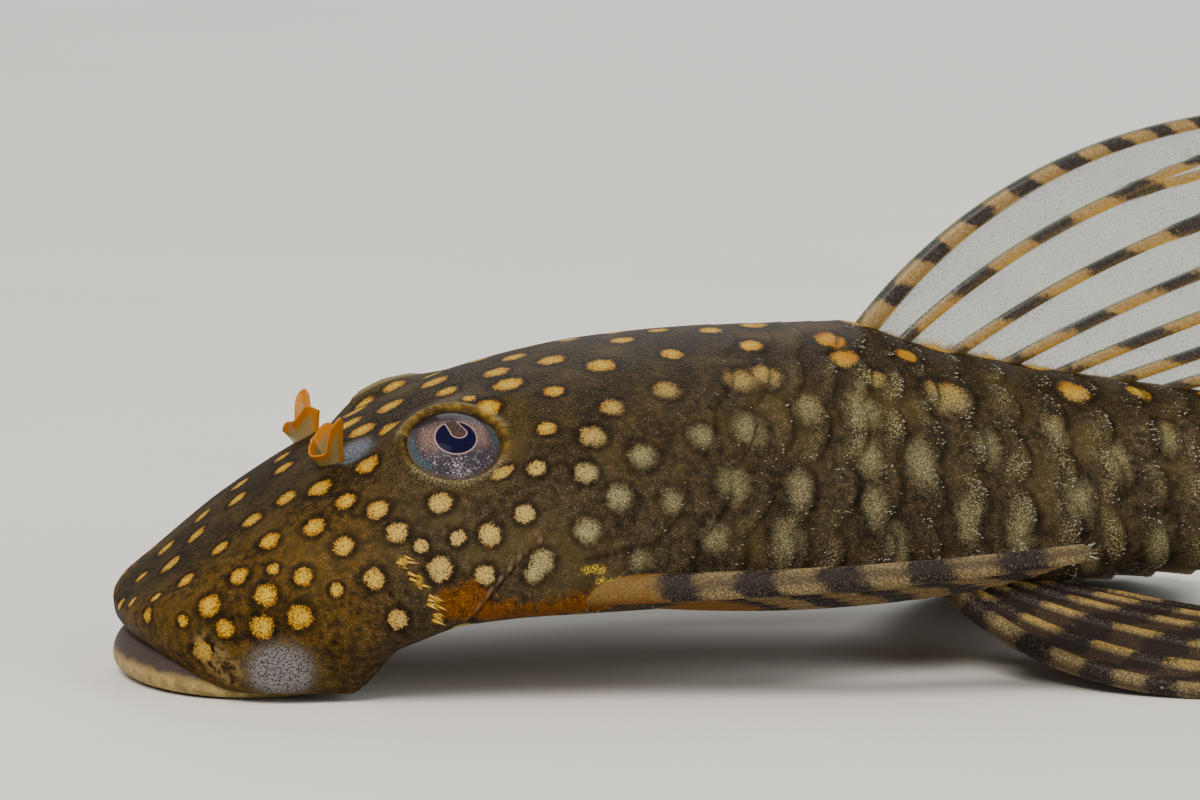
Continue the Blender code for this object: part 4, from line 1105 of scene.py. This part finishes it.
class CATFISH_OT_nostrils(Operator):
    """Makes the curled flaps between the openings of the nostrils"""

    bl_idname = "catfish.nostrils"
    bl_label = "Nasal flaps"

    def execute(self, context):
        finish = flap_finish(context.scene.catfish_colours)
        heights = through(
            ((0, 1.2), (0.12, 1.4), (0.3, 0.8), (0.46, 0.7), (0.6, 0.3), (0.74, 0.4), (0.86, 1.5), (0.96, 1.8), (1, 1.6))
        )
        for word, side in (("left", -1), ("right", 1)):
            root = skin_at(NOSTRIL_STATION, NOSTRIL_SHARE, float(side), -0.4)[0]
            bm, around, level = flat_grid(60, 30)
            turn = (2 * around - 1) * math.radians(118)
            curl = 0.5 * (1 + 0.75 * level**2)
            wave = 0.09 * level * np.sin(turn * 5)
            bow = np.stack([0.4 - (curl + wave) * np.cos(turn), (curl + wave) * np.sin(turn), 0 * turn], 1)
            bow[:, 1] *= side
            way = unit(np.array([-0.15, 0.2 * side, 1.0]))
            points = root + bow + (level * (0.42 + heights(around)))[:, None] * way
            thicken(bm, points, 0.075 * (1 - 0.5 * level))
            rim = np.maximum(level**3, np.abs(2 * around - 1) ** 5)
            make_piece(bm, f"nasal_flap_{word}", finish, (), {"rim": rim})
        return {"FINISHED"}


def studded(name, roots, ways, lengths, radius, patches, finish):
    """One joined piece of many small pointed cones, each with its patch of the bake's map."""
    cone = bmesh.new()
    bmesh.ops.create_cone(cone, cap_ends=True, segments=5, radius1=1, radius2=0, depth=1)
    bmesh.ops.remove_doubles(cone, verts=cone.verts, dist=1e-5)
    bmesh.ops.translate(cone, vec=Vector((0, 0, 0.38)), verts=cone.verts)
    bmesh.ops.triangulate(cone, faces=cone.faces)
    shape = np.array([vert.co for vert in cone.verts])
    faces = np.array([[vert.index for vert in face.verts] for face in cone.faces])
    cone.free()
    side = unit(np.cross(ways, (0.3, 0.9, 0.31)))
    other = np.cross(ways, side)
    width = np.asarray(radius)[:, None, None]
    points = roots[:, None] + width * (shape[None, :, :1] * side[:, None] + shape[None, :, 1:2] * other[:, None])
    points = points + np.asarray(lengths)[:, None, None] * shape[None, :, 2:] * ways[:, None]
    tris = faces[None] + np.arange(len(roots))[:, None, None] * len(shape)
    mesh = bpy.data.meshes.new(name)
    mesh.from_pydata((points.reshape(-1, 3) * MM + (SNOUT, 0, 0)).tolist(), [], tris.reshape(-1, 3).tolist())
    spread = shape[:, :2] * 0.0015
    layer = mesh.uv_layers.new(name="OFBake")
    corners = (patches[:, None] + spread[None])[:, faces.ravel()]
    layer.data.foreach_set("uv", corners.astype(np.float32).ravel())
    mesh.materials.append(finish.material)
    mesh.shade_smooth()
    piece = bpy.data.objects.new(name, mesh)
    bpy.context.scene.collection.objects.link(piece)
    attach(piece, "root")
    return piece


class CATFISH_OT_denticles(Operator):
    """Sets rows of tiny teeth on every plate, and the longer spines on both cheeks"""

    bl_idname = "catfish.denticles"
    bl_label = "Denticles"

    def execute(self, context):
        sizes, colours = context.scene.catfish_sizes, context.scene.catfish_colours
        finish = Finish("denticle", 0.12, Coat_Weight=0.5, Coat_Roughness=0.05)
        finish.wear(finish.mix(finish.noise(0.5), colours.denticle, colours.olive))
        gold = Finish("cheek_spine", 0.2, Coat_Weight=0.4, Coat_Roughness=0.08)
        gold.wear(gold.mix(gold.noise(0.3), colours.warm_spot, colours.gold_spot))
        for word, side in (("left", -1.0), ("right", 1.0)):
            draw = np.random.default_rng(SEED)
            counted, rows = np.meshgrid(np.arange(0, 25), np.arange(5), indexing="ij")
            counted = np.repeat(counted.ravel(), sizes.denticles_per_plate).astype(float)
            rows = np.repeat(rows.ravel(), sizes.denticles_per_plate)
            count = len(rows)
            lines = 9
            across = (draw.integers(0, lines, count) + 0.5 + draw.uniform(-0.3, 0.3, count)) / lines
            along = 1 - 0.85 * draw.uniform(0, 1, count) ** 1.7
            stops, counts = zip(*PLATE_COUNTS)
            station = np.interp(counted + 0.94 * along, counts, stops)
            station = station + PLATE_BULGE * (1 - (2 * across - 1) ** 2)
            edges = row_edges(station)
            low = np.take_along_axis(edges, rows[:, None], axis=1)[:, 0]
            high = np.take_along_axis(edges, rows[:, None] + 1, axis=1)[:, 0]
            share = low + (high - low) * across
            crowd = eased(-0.3, 0.8, np.sin(7.0 * across + 5.3 * counted + 2.1 * rows))
            crowd = (0.15 + 0.85 * crowd) * (0.15 + 0.85 * eased(20, 30, station))
            keep = (station < LENGTH - 0.2) & (draw.uniform(0, 1, count) < crowd)
            station, share, along = station[keep], share[keep], along[keep]
            lift, _ = skin_lift(station, share, sizes.plate_rise / MM)
            roots, outward, tailward = skin_at(station, share, side, lift - 0.02)
            ways = unit(tailward + draw.uniform(0.35, 0.7, (len(along), 1)) * outward)
            lengths = sizes.denticle_length / MM * (0.4 + 0.6 * along) * draw.uniform(0.6, 1.15, len(along))
            patches = np.stack([0.5 + 0.5 * side * share, station / LENGTH], axis=1)
            studded(f"denticles_{word}", roots, ways, lengths, 0.024 + 0.014 * along, patches, finish)

            path = [on_skin(place) for place in CHEEK_SPINE_LINE]
            stops = np.linspace(-0.4, len(path) - 1, CHEEK_SPINES)
            stops = np.round(stops) + 0.45 * (stops - np.round(stops))
            places, normals = (
                np.array([np.interp(stops, range(len(path)), [pair[part][axis] for pair in path]) for axis in range(3)]).T
                for part in (0, 1)
            )
            places = places + draw.uniform(-0.24, 0.24, (CHEEK_SPINES, 3)) * (1, 0.2, 0.8)
            ways = unit(unit(np.array([0.9, -0.25, -0.35])) + 0.35 * normals + draw.uniform(-0.25, 0.25, (CHEEK_SPINES, 3)))
            lengths = draw.uniform(0.26, 0.6, CHEEK_SPINES)
            mirror = np.array([1, -side, 1])
            patches = np.stack([0.5 + 0.26 * side + 0.01 * draw.uniform(-1, 1, CHEEK_SPINES), places[:, 0] / LENGTH], axis=1)
            studded(f"cheek_spines_{word}", (places - 0.04 * normals) * mirror, ways * mirror, lengths,
                    0.055 + 0.05 * lengths, patches, gold)

            for fin, keys, half in (("pectoral", PECTORAL_RAYS, 0.5), ("pelvic", PELVIC_RAYS, 0.35)):
                spots = draw.uniform(0.03, 0.99, 420)
                points, across, along = fin_points(np.array(keys), np.zeros(420), spots)
                tailward = unit(along)
                flat = unit(across - np.sum(across * tailward, axis=1, keepdims=True) * tailward)
                up = np.cross(flat, tailward)
                turn = draw.uniform(0, 2 * math.pi, 420)[:, None]
                outward = -0.7 * np.cos(turn) * flat + np.sin(turn) * up
                thin = (1 - 0.45 * spots)[:, None]
                roots = points + half * 0.75 * thin * flat + half * thin * (outward * (1, 1, 1)) * 0.85
                lengths = draw.uniform(0.1, 0.2, 420) * (0.7 + 0.8 * spots)
                mirror = np.array([1, side, 1])
                patches = np.stack([0.5 + 0.3 * side + 0.05 * turn[:, 0] / 7, 0.3 + 0.4 * spots], axis=1)
                studded(f"{fin}_denticles_{word}", roots * mirror, unit(tailward + 0.5 * outward) * mirror, lengths,
                        np.full(420, 0.03), patches, finish)
        return {"FINISHED"}


def area_light(name, place, aim, size, power, colour=(1, 1, 1)):
    """A square soft light that shines at a point."""
    lamp = bpy.data.lights.new(name, "AREA")
    lamp.size = size
    lamp.energy = power
    lamp.color = colour
    light = bpy.data.objects.new(name, lamp)
    light.location = place
    light.rotation_euler = (Vector(aim) - Vector(place)).to_track_quat("-Z", "Y").to_euler()
    bpy.context.scene.collection.objects.link(light)


class CATFISH_OT_stage(Operator):
    """Makes the floor, the soft light and the camera"""

    bl_idname = "catfish.stage"
    bl_label = "Stage"

    def execute(self, context):
        sizes, colours = context.scene.catfish_sizes, context.scene.catfish_colours
        bm = bmesh.new()
        bmesh.ops.create_circle(bm, cap_ends=True, segments=96, radius=sizes.floor_radius)
        mesh = bpy.data.meshes.new("floor")
        bm.to_mesh(mesh)
        bm.free()
        ground = Finish("floor", roughness=0.8)
        ground.wear(ground.mix(ground.between(ground.noise(40.0), 0.3, 0.7), colours.floor, tuple(0.96 * c for c in colours.floor)))
        mesh.materials.append(ground.material)
        floor = bpy.data.objects.new("floor", mesh)
        context.scene.collection.objects.link(floor)

        target = Vector((SNOUT + VIEW_TARGET[0] * MM, 0, VIEW_TARGET[2] * MM))
        area_light("key_light", (-0.26, -0.26, 0.42), target, 0.3, 4.2, (1, 0.94, 0.86))
        area_light("fill_light", (0.35, -0.38, 0.24), target, 0.4, 1.8, (0.95, 0.98, 1))
        area_light("rim_light", (0.12, 0.42, 0.30), target, 0.3, 1.0)
        world = context.scene.world or bpy.data.worlds.new("studio")
        context.scene.world = world
        world.use_nodes = True
        world.node_tree.nodes["Background"].inputs["Color"].default_value = (0.80, 0.79, 0.77, 1)
        world.node_tree.nodes["Background"].inputs["Strength"].default_value = 0.5

        back, right, up = view_axes()
        camera = bpy.data.cameras.new("camera")
        camera.sensor_width = SENSOR
        camera.lens = SENSOR * VIEW_DISTANCE / VIEW_WIDTH
        camera.clip_start = 0.01
        camera.clip_end = 20
        viewer = bpy.data.objects.new("camera", camera)
        viewer.matrix_world = Matrix.Translation(target + Vector(back) * VIEW_DISTANCE * MM) @ Matrix(
            np.stack([right, up, back], axis=1).tolist()
        ).to_4x4()
        context.scene.collection.objects.link(viewer)
        context.scene.camera = viewer
        return {"FINISHED"}


PIECE_OPERATORS = (
    CATFISH_OT_stage,
    CATFISH_OT_skin,
    CATFISH_OT_eyes,
    CATFISH_OT_nostrils,
    CATFISH_OT_lips,
    CATFISH_OT_fins,
    CATFISH_OT_denticles,
)


class CATFISH_PT_pieces(Panel):
    """Lists the catfish's pieces"""

    bl_label = "Catfish"
    bl_idname = "CATFISH_PT_pieces"
    bl_space_type = "VIEW_3D"
    bl_region_type = "UI"
    bl_category = "Catfish"

    def draw(self, context):
        for operator in PIECE_OPERATORS:
            self.layout.operator(operator.bl_idname)
        for group in (context.scene.catfish_sizes, context.scene.catfish_colours):
            for word in group.__annotations__:
                self.layout.prop(group, word)


CLASSES = (CatfishSizes, CatfishColours, *PIECE_OPERATORS, CATFISH_PT_pieces)


def register():
    for made in CLASSES:
        bpy.utils.register_class(made)
    bpy.types.Scene.catfish_sizes = PointerProperty(type=CatfishSizes)
    bpy.types.Scene.catfish_colours = PointerProperty(type=CatfishColours)


def unregister():
    del bpy.types.Scene.catfish_colours
    del bpy.types.Scene.catfish_sizes
    for made in reversed(CLASSES):
        bpy.utils.unregister_class(made)


def main():
    register()
    bpy.ops.catfish.stage()
    bpy.ops.catfish.skin()
    bpy.ops.catfish.eyes()
    bpy.ops.catfish.nostrils()
    bpy.ops.catfish.lips()
    bpy.ops.catfish.fins()
    bpy.ops.catfish.denticles()


if __name__ == "__main__":
    main()
